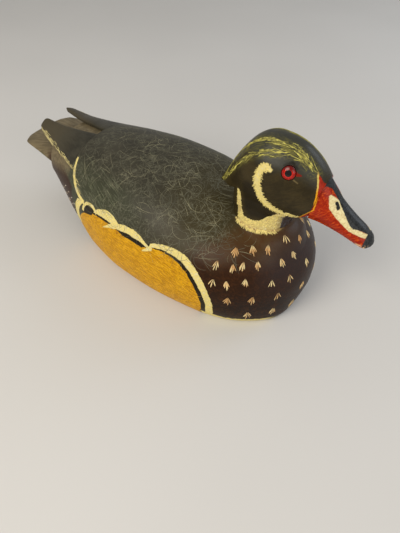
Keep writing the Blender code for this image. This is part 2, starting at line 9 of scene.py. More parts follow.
import bmesh
import bpy
import numpy as np
from mathutils import Matrix, Vector
from mathutils.bvhtree import BVHTree


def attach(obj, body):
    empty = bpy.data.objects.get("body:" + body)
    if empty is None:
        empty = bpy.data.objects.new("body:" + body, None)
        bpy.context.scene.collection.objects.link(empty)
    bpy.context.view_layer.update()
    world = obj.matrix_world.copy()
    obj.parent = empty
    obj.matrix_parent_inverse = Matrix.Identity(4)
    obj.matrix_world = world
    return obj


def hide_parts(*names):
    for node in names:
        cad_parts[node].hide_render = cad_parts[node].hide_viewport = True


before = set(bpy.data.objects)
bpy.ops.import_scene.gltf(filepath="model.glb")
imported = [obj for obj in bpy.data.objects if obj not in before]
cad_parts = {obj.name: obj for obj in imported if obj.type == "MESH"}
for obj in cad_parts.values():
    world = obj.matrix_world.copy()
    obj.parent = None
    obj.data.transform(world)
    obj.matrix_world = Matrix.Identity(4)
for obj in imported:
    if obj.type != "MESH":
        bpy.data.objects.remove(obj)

bl_info = {
    "name": "Painted Drake Decoy",
    "version": (1, 0, 0),
    "blender": (4, 5, 0),
    "location": "View3D > Sidebar > Decoy",
    "description": "Carves and paints a wooden drake decoy over its packed frame",
    "category": "Object",
}

MM = 0.001
WELD = 0.002 * MM
SIDES = ((1, "left"), (-1, "right"))

# Hull: station, half beam, height of the beam, top of the back, bottom, half width of the flat.
HULL = np.array(
    [
        (148, 0, 35, 35, 35, 0),
        (145.5, 17, 35, 52, 15, 9),
        (140, 30, 35, 62.5, 3, 22),
        (132, 41, 34.5, 73.5, 0, 33),
        (120, 52.5, 34, 83, 0, 43),
        (100, 65.5, 34, 89.5, 0, 53),
        (70, 73.5, 34, 91, 0, 60),
        (20, 77, 34, 104, 0, 63),
        (-20, 75, 36, 106.5, 0, 60),
        (-60, 67, 42, 104.5, 0, 50),
        (-88, 58, 50, 101.5, 20, 40),
        (-110, 49, 58, 100, 44, 32),
        (-130, 41, 66, 99.5, 60, 26),
        (-160, 32, 74, 104, 68, 20),
    ]
)
NOSE, STERN, SEAM = 148, -129.5, 10
NECK_X, SEAT_Z, SEAT_RADIUS = 95.5, 90, 25.5
# Neck seat: radius and height of its flared foot.
SEAT_FOOT = np.array([(25.5, 90), (26.6, 88), (29.5, 86), (34, 82), (40, 70), (60, 20)])
# Head: height, front, back, half width, station of the greatest width.
HEAD = np.array(
    [
        (90.3, 121, 70, 25.5, 95.5),
        (96, 122, 70.5, 24, 95),
        (102.4, 125.5, 69, 22.5, 94),
        (103.2, 126, 52, 22.3, 94),
        (106, 134, 53, 22, 94),
        (112, 142, 56, 22, 95),
        (120, 149, 60, 22.8, 96),
        (128, 150, 64, 23.2, 97),
        (134, 147, 67, 23, 98),
        (140, 142.5, 70.5, 22, 99),
        (146, 137.5, 74.5, 20.4, 99),
        (152, 131, 79, 17.2, 98),
        (156.5, 125, 83.5, 13.6, 98),
        (159.6, 119, 88.5, 10, 98),
        (161.3, 113, 94, 6, 99),
    ]
)
CROWN_X, CROWN_Z, CREST_Z = 102, 162.1, 103
NECK_RADIUS, CREST_TIP, CREST_RISE = 26.5, (52.5, 102.3), 0.6
FACE_MIDDLE = Vector((138.1, 0, 122.5))
FACE_AIM = Vector((36.2, 0, -6.2)).normalized()
# Bill: (x, z) of the ridge, (x, z) of the lower edge and half width, from the face to the tip.
BILL = np.array(
    [
        (141.2, 140.6, 135, 104.4, 13.4),
        (148, 133.6, 142, 104.8, 12.4),
        (156.5, 125, 151, 104, 11.2),
        (167.5, 117.2, 162.5, 101.8, 10.2),
        (177, 111.4, 172.5, 99, 9.6),
        (182.8, 106.6, 180, 97, 7.6),
        (184.8, 103, 184, 98.6, 3.4),
    ]
)
BILL_TIP = (185.2, 101)
# Tail: station, half width, top and bottom of the fan.
TAIL = np.array(
    [
        (-129.8, 37.5, 87, 60),
        (-140, 37, 83, 65.4),
        (-155, 35.5, 80.2, 70.4),
        (-168, 34, 79, 73),
        (-178, 31.5, 77.6, 73.8),
        (-183.4, 24, 77, 74.2),
    ]
)
TAIL_TIP = (-185.2, 75.6)
WING_STEP, WING_END, WING_THICK = -90, -158, 5
EYE = Vector((117, 18.3, 146))
EYE_AIM = Vector((0.22, 1, 0.35)).normalized()
EYE_RADIUS = 5
BALLAST_X, TIE_X = 5, 121
BOARD_SCREWS = ((80, 53), (14, 58), (-48, 48.5))

# Flank panel, in station and height. Each scallop is the outer, the inner and the yellow circle.
SCALLOPS = (
    ((-26, 50, 24), (-28, -34, 100), (-28, -36, 100)),
    ((1, 27, 44), (3, -10, 75), (0, -89, 150)),
    ((43, 22, 48), (40, 21, 44.6), (36.8, 21, 43.2)),
)
PANEL_REAR = ((-48, 42, 33), (-43.5, 42, 30))
PANEL_RING = (-50, 56, 14.5, 11.3)
PANEL_TIP = (-38, 22, 41)
STRIPE = (-57, 96, 30.5)
# Cheek stripe and the throat end of it, in station and height.
CHEEK = (
    *((104, 144.5), (100.5, 146), (97, 143.5), (96, 137), (96.8, 129.5)),
    *((100, 121.5), (105.5, 116), (113, 112.4), (121, 110.5), (129, 108.3)),
)
CHEEK_HALF = (2.0, 2.6, 2.8, 2.8, 3.0, 3.0, 2.5, 1.8, 1.3, 0.8)
COLLAR_BACK = ((80.6, 117), (81.8, 109), (83.2, 100), (86, 94))
COLLAR_BACK_HALF = (1.3, 1.9, 2.5, 3.6)
# Bill's white patch, in station and height.
PATCH = ((146.6, 131.6), (151.5, 125.6), (157, 120.4), (162, 116), (167.5, 112.5), (173, 110.6), (178.6, 108.8))
PATCH_HALF = (0.9, 3.2, 3.0, 2.1, 1.8, 1.3, 1.1)
# Dark of the forehead and the bill's ridge: station, half width, and its change per millimetre.
DARK_TOP = ((136, 9.2, -0.62), (152, 3.2, 0.0), (152, 3.0, 0.32))
# Crest streaks: station, distance from the middle, height along the upper and the lower lock.
CREST_LOCKS = (
    (
        *((134, 9, 146), (127, 8, 152), (119, 6.5, 158), (105, 8, 160), (94, 8.5, 159)),
        *((84, 8, 154), (74, 6, 143), (64, 4.5, 127), (57, 3, 114), (53, 1.5, 104.5)),
    ),
    (
        *((128, 9.5, 150), (117, 9.5, 156), (108, 13, 156), (97, 15, 154), (90, 15.5, 151)),
        *((83, 15.5, 145), (76, 14.5, 137), (68, 12, 125), (60, 8, 114), (54, 2.5, 105)),
    ),
)
CREST_LOCKS_FLAT = tuple(tuple((x, z) for x, _, z in lock) for lock in CREST_LOCKS)
# Breast flecks: height of a row, and the angles of its flecks from the breast's middle, in degrees.
FLECKS = (
    (84, (15, -15)),
    (78, (61, 46, 30, 0, -30, -46, -61)),
    (70.5, (14, -14)),
    (68.5, (75, 63, 54, 41, 25, -25, -41, -54, -63, -75)),
    (58, (51, 1, -51)),
    (54, (75, 64, 34, 19, -19, -34, -64, -75)),
    (37, (63, 47, 28, 8, -11, -28, -47, -63)),
    (16, (48, 30, 14, -14, -30, -48)),
)


# ---------------------------------------------------------------- settings


def colour(name, description, value):
    return bpy.props.FloatVectorProperty(
        name=name, description=description, subtype="COLOR", size=3, min=0, max=1, default=value
    )


def length(name, description, value):
    return bpy.props.FloatProperty(
        name=name, description=description, subtype="DISTANCE", unit="LENGTH", min=0, default=value * MM
    )


def power_of(name, description, value):
    return bpy.props.FloatProperty(
        name=name, description=description, subtype="POWER", unit="POWER", min=0, default=value
    )


class DecoyPaint(bpy.types.PropertyGroup):
    """Paints of the drake."""

    back: colour("Back", "Dark paint of the back and wings", (0.050, 0.046, 0.032))
    shoulder: colour("Shoulder", "Bronze glaze of the shoulders", (0.048, 0.038, 0.014))
    flank: colour("Flank", "Green glaze behind the panel", (0.046, 0.050, 0.028))
    breast: colour("Breast", "Chestnut of the breast", (0.028, 0.009, 0.0015))
    belly: colour("Belly", "Darker chestnut by the seam", (0.012, 0.004, 0.001))
    rufous: colour("Rufous", "Red-brown under the wing tips", (0.030, 0.010, 0.004))
    yellow: colour("Panel yellow", "Flank panel", (0.66, 0.34, 0.002))
    ochre: colour("Panel ochre", "Brush lines of the flank panel", (0.40, 0.18, 0.001))
    cream: colour("Cream", "Scallops, collar and cheek", (0.82, 0.68, 0.24))
    ink: colour("Black", "Lines inside the scallops, neck", (0.014, 0.010, 0.004))
    head: colour("Head", "Brown-black of the face", (0.042, 0.030, 0.010))
    crown: colour("Crown", "Slate of the crown", (0.040, 0.042, 0.034))
    crest: colour("Crest", "Yellow-green streaks of the crest", (0.64, 0.58, 0.13))
    red: colour("Bill red", "Sides of the bill", (0.40, 0.020, 0.002))
    orange: colour("Bill border", "Line where the bill meets the face", (0.75, 0.34, 0.008))
    tan: colour("Tail", "Tan-grey of the tail and rump", (0.19, 0.15, 0.085))


class DecoyShape(bpy.types.PropertyGroup):
    """Sizes of the brush work."""

    hairline: length("Hairline", "Half width of the fine lines on the back", 0.16)
    bristle: length("Bristle stroke", "Half width of the strokes of the collar and cheek", 0.38)
    streak: length("Crest streak", "Half width of the crest's streaks", 0.34)
    fleck: length("Fleck", "Length of a breast fleck", 10.5)
    relief: length("Relief", "How far a stroke of thick paint stands up", 0.16)
    hairlines: bpy.props.IntProperty(
        name="Hairlines", description="How many fine lines the back has", min=0, max=2000, default=900
    )


class DecoyStage(bpy.types.PropertyGroup):
    """Camera and light."""

    lens: bpy.props.FloatProperty(name="Lens", description="Focal length in millimetres", min=10, max=200, default=26.6)
    key: power_of("Key light", "Power of the large soft light", 12.0)
    rim: power_of("Rim light", "Power of the cool light from behind", 5.0)
    room: bpy.props.FloatProperty(name="Room", description="Brightness of the room", min=0, max=5, default=0.40)


def paint_settings():
    return bpy.context.scene.decoy_paint


def shape_settings():
    return bpy.context.scene.decoy_shape


# ---------------------------------------------------------------- curves and skins


def hermite(xs, ys):
    """A smooth curve through the points that never overshoots them."""
    order = np.argsort(xs)
    xs, ys = np.asarray(xs, float)[order], np.asarray(ys, float)[order]
    step, slope = np.diff(xs), np.diff(ys) / np.diff(xs)
    same_way = slope[:-1] * slope[1:] > 0
    with np.errstate(divide="ignore", invalid="ignore"):
        middle = (step[1:] + step[:-1]) * 3 / (
            (2 * step[1:] + step[:-1]) / slope[:-1] + (step[1:] + 2 * step[:-1]) / slope[1:]
        )
    tangent = np.concatenate([[slope[0]], np.where(same_way, middle, 0), [slope[-1]]])

    def at(x):
        x = np.clip(x, xs[0], xs[-1])
        i = np.clip(np.searchsorted(xs, x) - 1, 0, len(step) - 1)
        t = (x - xs[i]) / step[i]
        return (
            ys[i] * (1 + 2 * t) * (1 - t) ** 2
            + tangent[i] * step[i] * t * (1 - t) ** 2
            + ys[i + 1] * t * t * (3 - 2 * t)
            + tangent[i + 1] * step[i] * t * t * (t - 1)
        )

    return at


def power(value, exponent):
    return np.sign(value) * np.abs(value) ** exponent


def from_nose(x):
    return np.sqrt(np.maximum(NOSE - x, 0))


HULL_CURVES = [hermite(from_nose(HULL[:, 0]), column) for column in HULL[:, 1:].T]
HEAD_CURVES = [hermite(HEAD[:, 0], column) for column in HEAD[:, 1:].T]
BILL_CURVES = [hermite(np.linspace(0, 1, len(BILL)), column) for column in BILL.T]
TAIL_CURVES = [hermite(-TAIL[:, 0], column) for column in TAIL[:, 1:].T]


def hull_sizes(x, inset=0.0):
    beam, beam_z, top, bottom, flat = (curve(from_nose(x)) for curve in HULL_CURVES)
    beam, top, bottom = np.maximum(beam - inset, 0), top - inset, bottom + inset
    return beam, beam_z, top, bottom, np.minimum(flat, 0.95 * beam)


def hull_section(x, along):
    """(distance from the middle, height) on a hull section; along goes from 0 at the keel to 1 at the ridge."""
    beam, beam_z, top, bottom, flat = hull_sizes(x)
    low = np.clip((along - 0.12) / 0.33, 0, 1) * math.pi / 2
    high = np.clip((along - 0.45) / 0.55, 0, 1) * math.pi / 2
    y = np.where(
        along < 0.12,
        flat * along / 0.12,
        np.where(along < 0.45, flat + (beam - flat) * np.sin(low) ** 0.8, beam * np.abs(np.cos(high)) ** 0.86),
    )
    z = np.where(
        along < 0.45,
        beam_z - (beam_z - bottom) * np.abs(np.cos(low)) ** 0.8,
        beam_z + (top - beam_z) * np.sin(high) ** 0.95,
    )
    return np.where(along > 0.9999, 0, y), z


def hull_top(x, y, inset=0.0):
    """Height of the back at a station and a distance from the middle."""
    beam, beam_z, top, _, _ = hull_sizes(x, inset)
    across = np.clip(np.abs(y) / np.maximum(beam, 0.001), 0, 1) ** (1 / 0.86)
    return beam_z + (top - beam_z) * np.sqrt(1 - across**2) ** 0.95


def wing_edges(x):
    along = (x - WING_STEP) / (WING_END - WING_STEP)
    return 5 + 8 * along, 46 - 23 * along


def skin(around, along, place):
    """A grid bent over a surface, with its open ends closed: place gives the points for two parameters, 0 to 1."""
    bm = bmesh.new()
    bmesh.ops.create_grid(bm, x_segments=around, y_segments=along, size=0.5)
    u, v = (np.array([vert.co[axis] for vert in bm.verts]) + 0.5 for axis in (0, 1))
    for vert, point in zip(bm.verts, np.column_stack(place(u, v)) * MM):
        vert.co = point
    bmesh.ops.remove_doubles(bm, verts=bm.verts, dist=WELD)
    close(bm)
    return bm


def close(bm):
    """Caps every open edge loop, and turns the faces outwards."""
    bmesh.ops.holes_fill(bm, edges=[edge for edge in bm.edges if edge.is_boundary], sides=0)
    bmesh.ops.recalc_face_normals(bm, faces=bm.faces)


def cut_flat(bm, point, aim):
    """Takes off what lies ahead of a plane, and closes the cut."""
    everything = bm.verts[:] + bm.edges[:] + bm.faces[:]
    bmesh.ops.bisect_plane(bm, geom=everything, dist=0.0000001, plane_co=point, plane_no=aim, clear_outer=True)
    close(bm)


def ball_turn(aim):
    return Vector((0, 0, 1)).rotation_difference(aim).to_matrix().to_4x4()


def spun(profile, steps=64):
    """A solid of revolution about z from (radius, height) points that start and end on the axis."""
    bm = bmesh.new()
    verts = [bm.verts.new((radius * MM, 0, height * MM)) for radius, height in profile]
    edges = [bm.edges.new(pair) for pair in zip(verts, verts[1:])]
    bmesh.ops.spin(
        bm, geom=verts + edges, cent=(0, 0, 0), axis=(0, 0, 1), angle=math.tau, steps=steps, use_merge=True
    )
    bmesh.ops.remove_doubles(bm, verts=bm.verts, dist=WELD)
    bmesh.ops.recalc_face_normals(bm, faces=bm.faces)
    return bm


def rod(radius, reach, centre, aim, steps=48):
    bm = bmesh.new()
    place = Matrix.Translation(Vector(centre) * MM) @ ball_turn(Vector(aim))
    bmesh.ops.create_cone(
        bm, cap_ends=True, segments=steps, radius1=radius * MM, radius2=radius * MM, depth=reach * MM, matrix=place
    )
    return bm


def pocket(size, centre, radius):
    """A box with its four upright edges rounded."""
    bm = bmesh.new()
    bmesh.ops.create_cube(bm, size=1, matrix=Matrix.LocRotScale(Vector(centre) * MM, None, Vector(size) * MM))
    upright = [edge for edge in bm.edges if abs((edge.verts[0].co - edge.verts[1].co).z) > size[2] * MM / 2]
    bmesh.ops.bevel(
        bm, geom=upright, offset=radius * MM, segments=6, profile=0.5, affect="EDGES", material=-1
    )
    return bm


def under_crest():
    """The free space below the crest's sloping lower edge, round the back of the neck."""

    def place(u, v):
        angle, corner = np.radians(105 + 150 * u), np.rint(4 * v) % 4
        far = np.minimum(60, (NECK_X - CREST_TIP[0]) / -np.cos(angle))
        reach = np.where((corner == 0) | (corner == 3), NECK_RADIUS, far)
        x, y = NECK_X + reach * np.cos(angle), reach * np.sin(angle)
        rise = CREST_RISE * (x - CREST_TIP[0])
        return x, y, CREST_TIP[1] + np.where((corner == 0) | (corner == 1), -0.1, rise)

    return skin(24, 4, place)


def make(name, bm, finish=None, sharp=40):
    """The bmesh as an object whose edges above an angle stay crisp."""
    mesh = bpy.data.meshes.new(name)
    bm.to_mesh(mesh)
    bm.free()
    made = bpy.data.objects.new(name, mesh)
    bpy.context.scene.collection.objects.link(made)
    mesh.shade_smooth()
    mesh.set_sharp_from_angle(angle=math.radians(sharp))
    if finish:
        mesh.materials.append(finish)
    return made


def carve(piece, cutters, sharp=40):
    """Cuts each bmesh out of the piece."""
    helpers = []
    for number, bm in enumerate(cutters):
        helper = make(f"{piece.name}_cutter_{number}", bm)
        helpers.append(helper)
        boolean = piece.modifiers.new("cut", "BOOLEAN")
        boolean.operation, boolean.solver, boolean.object = "DIFFERENCE", "EXACT", helper
    bpy.context.view_layer.update()
    finished = bpy.data.meshes.new_from_object(piece.evaluated_get(bpy.context.evaluated_depsgraph_get()))
    piece.modifiers.clear()
    old, piece.data = piece.data, finished
    bpy.data.meshes.remove(old)
    for helper in helpers:
        bpy.data.objects.remove(helper, do_unlink=True)
    finished.shade_smooth()
    finished.set_sharp_from_angle(angle=math.radians(sharp))


def mirrored(spot, side):
    """The same place or direction on one side of the bird."""
    return Vector((spot.x, side * spot.y, spot.z))


def settle(piece, body, slot, *nodes):
    """Puts a finished piece in the frame: its body and the nodes it stands for. The finish slot is not used."""
    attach(piece, body)
    if nodes:
        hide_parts(*nodes)


# ---------------------------------------------------------------- finishes


class Wire:
    """A shader socket that takes part in sums: an expression on wires adds its Math nodes."""

    def __init__(self, finish, socket):
        self.finish, self.socket = finish, socket

    def sum(self, operation, *values):
        return self.finish.node("ShaderNodeMath", {"operation": operation}, dict(enumerate(values)))

    def __add__(self, other):
        return self.sum("ADD", self, other)

    def __sub__(self, other):
        return self.sum("SUBTRACT", self, other)

    def __rsub__(self, other):
        return self.sum("SUBTRACT", other, self)

    def __mul__(self, other):
        return self.sum("MULTIPLY", self, other)

    def __truediv__(self, other):
        return self.sum("DIVIDE", self, other)

    def __pow__(self, other):
        return self.sum("POWER", self, other)

    def __abs__(self):
        return self.sum("ABSOLUTE", self)

    def least(self, other):
        return self.sum("MINIMUM", self, other)

    def most(self, other):
        return self.sum("MAXIMUM", self, other)

    def root(self):
        return self.sum("SQRT", self)

    __radd__ = __add__
    __rmul__ = __mul__


class Finish:
    """A material while it is mixed, in millimetres of the piece's own place."""

    def __init__(self, name, **constants):
        self.material = bpy.data.materials.new(name)
        self.material.use_nodes = True
        self.tree = self.material.node_tree
        self.shader = self.tree.nodes["Principled BSDF"]
        for socket, value in constants.items():
            self.shader.inputs[socket.replace("_", " ").title().replace("Ior", "IOR")].default_value = value
        place = self.node("ShaderNodeTexCoord", out="Object")
        self.place = self.node("ShaderNodeVectorMath", {"operation": "SCALE"}, {0: place, "Scale": 1 / MM})
        split = self.node("ShaderNodeSeparateXYZ", {}, {0: self.place}).socket.node
        self.x, self.y, self.z = (Wire(self, socket) for socket in split.outputs)

    def node(self, kind, settings=None, sockets=None, out=0):
        """Adds a node: its settings first, then values or wires for its sockets, and gives one output."""
        made = self.tree.nodes.new(kind)
        for setting, value in (settings or {}).items():
            setattr(made, setting, value)
        for key, value in (sockets or {}).items():
            if isinstance(value, Wire):
                self.tree.links.new(value.socket, made.inputs[key])
            elif hasattr(value, "__len__") and len(made.inputs[key].default_value) == 4:
                made.inputs[key].default_value = (*value[:3], 1)
            else:
                made.inputs[key].default_value = value
        return Wire(self, made.outputs[out])

    def mix(self, one, other, share):
        """One colour going over to the other."""
        return self.node("ShaderNodeMix", {"data_type": "RGBA"}, {0: share, 6: one, 7: other}, out=2)

    def shaded(self, paint, share, value, width):
        """A paint going over to a darker share of itself where the value rises."""
        return self.mix(paint, times(paint, share), self.edge(value, width))

    def noise(self, size, detail=3.0, stretch=(1, 1, 1), turn=(0, 0, 0), warp=0.0, rough=0.55):
        """Cloudy values about zero, with lumps of a size in millimetres."""
        scale = tuple(1 / (size * s) for s in stretch)
        bent = self.node("ShaderNodeMapping", {}, {"Vector": self.place, "Rotation": turn})
        bent = self.node("ShaderNodeMapping", {}, {"Vector": bent, "Scale": scale})
        sockets = {"Vector": bent, "Scale": 1.0, "Detail": detail, "Roughness": rough, "Distortion": warp}
        return self.node("ShaderNodeTexNoise", {}, sockets) - 0.5

    def edge(self, value, width=1.0):
        """0 below zero and 1 above it, with a soft change over the width."""
        sockets = {"Value": value, "From Min": -width / 2, "From Max": width / 2}
        return self.node("ShaderNodeMapRange", {"interpolation_type": "SMOOTHSTEP"}, sockets)

    def line(self, value, half, width=0.5):
        """1 where the value is within half of zero."""
        return self.edge(half - abs(value), width)

    def circle(self, x, z, centre_x, centre_z, radius):
        """Distance outside a circle, below zero inside it."""
        across, up = x - centre_x, z - centre_z
        return (across * across + up * up).root() - radius

    def lock(self, x, z, points, halves):
        """Distance outside a band that follows points, with a half width at each of them."""
        nearest = None
        for (x0, z0), (x1, z1), h0, h1 in zip(points, points[1:], halves, halves[1:]):
            run, rise = x1 - x0, z1 - z0
            across, up = x - x0, z - z0
            share = (across * run + up * rise) / (run * run + rise * rise)
            share = share.most(0).least(1)
            off, above = across - share * run, up - share * rise
            apart = (off * off + above * above).root() - (share * (h1 - h0) + h0)
            nearest = apart if nearest is None else nearest.least(apart)
        return nearest

    def hairs(self, size, half, turn=(0, 0, 0), stretch=(1, 1, 1), warp=0.6):
        """Thin wandering lines."""
        return self.line(self.noise(size, 1.5, stretch, turn, warp), half, half)

    def bump(self, height, depth, strength=1.0):
        """Relief of a height, 0 to 1, over a depth in millimetres."""
        sockets = {"Height": height, "Distance": depth * MM, "Strength": strength}
        self.give("Normal", self.node("ShaderNodeBump", {}, sockets))

    def give(self, socket, wire):
        self.tree.links.new(wire.socket, self.shader.inputs[socket])

    def done(self, colour_wire, roughness=None):
        self.give("Base Color", colour_wire)
        if roughness is not None:
            self.give("Roughness", roughness)
        return self.material


def times(paint, share):
    return tuple(share * c for c in paint)


def satin(name, roughness=0.4, coat=0.05):
    return Finish(name, roughness=roughness, coat_weight=coat, coat_roughness=0.25, specular_ior_level=0.12)


def body_finish():
    """The whole pattern of the body: back, flank panel with its scallops, breast, rump and collar."""
    paint = paint_settings()
    f = satin("body_paint", 0.42)
    wobble = f.noise(9, 2) * 2.2 + f.noise(1.6, 2) * 1.1
    x, z = f.x + wobble, f.z + f.noise(7, 2, turn=(1, 0, 0)) * 1.8 + f.noise(1.3, 2, turn=(0, 1, 0)) * 1.0
    side = abs(f.y)

    mottle = f.noise(24, 4)
    brushed = f.noise(2.2, 3, (6, 1, 1), (0, 0.15, 0.3), 0.6)
    grime = f.noise(5, 5, warp=1.5)
    dark = times(paint.back, 0.55)
    back = f.mix(paint.back, dark, f.edge(mottle + brushed * 0.5, 0.5))
    back = f.mix(back, times(paint.back, 1.7), f.edge(grime + brushed - 0.16, 0.35) * 0.45)
    green = f.edge(f.x * -1 + 5 + mottle * 60, 60) * f.edge(93 - f.z, 20) * f.edge(side - 36, 16)
    back = f.mix(back, paint.flank, green * 0.85)
    shoulder = f.edge(f.x - 30 + mottle * 50, 60)
    back = f.mix(back, paint.shoulder, shoulder * 0.8)

    long_hairs = f.hairs(13, 0.010, (0.4, 0.2, 0.9), (1, 1, 1), 2.2)
    scratch = long_hairs.most(f.hairs(6, 0.014, (0, 0.5, 2.1), (2.2, 1, 1), 1.2))
    scratch = scratch * f.edge(f.noise(17, 2, turn=(1, 1, 0)) + 0.02, 0.16) * f.edge(f.z - 68, 16)
    back = f.mix(back, (0.16, 0.155, 0.105), scratch * 0.55)

    above = (f.z - 62).most(0)
    front = f.x - (60 + above * above * 0.05) + mottle * 26 + brushed * 14
    chest = f.mix(paint.breast, paint.belly, f.edge(46 - f.z + mottle * 40, 46))
    chest = f.mix(chest, (0.085, 0.045, 0.014), f.edge(f.z - 76 + mottle * 30, 26) * 0.8)
    chest = f.mix(chest, times(paint.breast, 2.2), f.edge(grime + brushed * 1.2 - 0.1, 0.4) * 0.5)
    # Towards the front of the breast, higher up, the chestnut goes over to bluish grey: a painted reflection of the
    # cool rim light.
    chest = f.mix(chest, (0.040, 0.036, 0.040), f.edge(f.x - 122 + mottle * 30, 24) * f.edge(f.z - 50, 40) * 0.5)
    coat = f.mix(back, chest, f.edge(front, 26))

    rump = f.edge(-84 - f.x + wobble * 2, 5) * f.edge(70 - f.z + (f.x + 84) * -0.55, 5)
    coat = f.mix(coat, paint.rufous, rump * 0.9)
    stern = f.edge(-92 - f.x, 3) * f.edge(62 - side, 4) * f.edge(f.z - 78 - (f.x + 100) * 0.2, 14)
    coat = f.mix(coat, f.shaded(paint.tan, 0.6, grime, 0.4), stern * 0.95)

    on_side = f.edge(side - 30, 2)
    outers, inners, yellows = (
        [f.circle(x, z, *circle) for circle in circles] for circles in zip(*SCALLOPS)
    )
    rear_out, rear_in = (f.circle(x, z, *circle) for circle in PANEL_REAR)
    ring = f.circle(x, z, *PANEL_RING[:3])
    yellow = None
    for outer, low in zip(outers, yellows):
        lobe = outer.most(low)
        yellow = lobe if yellow is None else yellow.least(lobe)
    tip = f.circle(x, z, *PANEL_TIP).most(z - 58.5 - (x + 52) * 0.33)
    yellow = yellow.least(tip)
    dark_line = ring.least(outers[0]).least(outers[1]).least(outers[2]).least(tip)
    cream_lobe = [outer.most(inner * -1) for outer, inner in zip(outers, inners)]
    cream_lobe[0] = cream_lobe[0].most(x + 11)
    cream_lobe[1] = cream_lobe[1].most(x - 26)
    cream_lobe[2] = cream_lobe[2].most(26 - x).least(f.lock(x, z, ((19.5, 57.5), (27, 62.5)), (0.7, 2.0)))
    ring_band = abs(ring + 1.6) - 1.5
    ring_band = ring_band.most(57 - z).most(x + 41)
    rear_band = rear_out.most(rear_in * -1).most(34 - z).most(z - 65)
    stripe = abs(f.circle(x, z, *STRIPE)) - (2.1 - (z - 66).most(0) * 0.03)
    stripe = stripe.most(z - 92).most(x + 61)
    cream = ring_band.least(rear_band).least(stripe)
    for lobe in cream_lobe:
        cream = cream.least(lobe)
    foot = f.edge(11.5 - f.z - (f.x - 80) * 0.10 + f.noise(5, 3) * 4, 1.0) * f.edge(f.x - 79, 3) * f.edge(134 - f.x, 10)

    long_x = f.noise(1.0, 3, (9, 1, 1), (0, -0.25, 0), 1.2)
    swirl = f.noise(1.4, 3, (5, 1, 1), (0, 0.7, 0), 2.0)
    yellow_coat = f.mix(paint.yellow, paint.ochre, f.edge(long_x + swirl * 0.7, 0.30))
    bright = tuple(min(1, 1.25 * c + 0.02) for c in paint.yellow)
    yellow_coat = f.mix(yellow_coat, bright, f.edge(swirl - long_x - 0.12, 0.2) * 0.6)
    yellow_coat = f.mix(yellow_coat, (0.30, 0.10, 0.004), f.edge(f.noise(3.2, 4, warp=1) - 0.17, 0.08) * 0.7)
    dabs = f.noise(1.6, 3, (2.5, 1, 1), (0, 0.4, 0), 1.0)
    cream_coat = f.shaded(paint.cream, 0.72, dabs, 0.4)
    cream_coat = f.mix(cream_coat, (0.86, 0.80, 0.58), f.edge(dabs - 0.1, 0.2) * 0.6)

    panel = on_side * f.edge(yellow * -1, 0.5)
    inked = on_side * f.edge(dark_line * -1 - 0.4, 0.5)
    creamed = (on_side * f.edge(cream * -1, 0.5)).most(foot)
    coat = f.mix(coat, paint.ink, inked)
    coat = f.mix(coat, yellow_coat, panel)
    coat = f.mix(coat, cream_coat, creamed)

    neck_x, fade = f.x - NECK_X, f.noise(2.4, 3)
    neck = (neck_x * neck_x + f.y * f.y).root() + fade * 2.5
    collar = f.edge(26.4 - neck, 1.0) * f.edge(f.x - 80.5 + f.noise(4, 2) * 3, 2) * f.edge(117 - f.x + fade * 8, 6)
    coat = f.mix(coat, f.mix(paint.cream, (0.40, 0.26, 0.10), f.edge(fade + dabs, 0.2)), collar * f.edge(f.z - 84, 2))
    thick = creamed * 0.9 + panel * (0.35 + long_x * 0.9) + collar * 0.6
    fine = brushed * 0.30 + f.noise(0.9, 3, (3, 1, 1), (0, 0.3, 0.8), 0.8) * 0.25 + grime * 0.35
    f.bump(thick + fine + dabs * creamed * 0.6, 0.30)
    f.give("Roughness", 0.40 + grime * 0.25 + creamed * 0.12 + panel * 0.02)
    return f.done(coat)


def dark_width(f):
    """Half width of the dark that runs from the forehead along the ridge of the bill."""
    wide = None
    for station, half, change in DARK_TOP:
        here = (f.x - station) * change + half
        wide = here if wide is None else wide.most(here)
    return wide.least(7.4).least((f.x - 169) * -0.45 + 7.4)


def face_border(f, fine):
    """Distance ahead of the line where the face's paint meets the bill's."""
    above, below = (f.z - 128).most(0), (120 - f.z).most(0)
    return f.x - (139.2 - above * above * 0.0142 - below * 0.75) + fine * 0.8


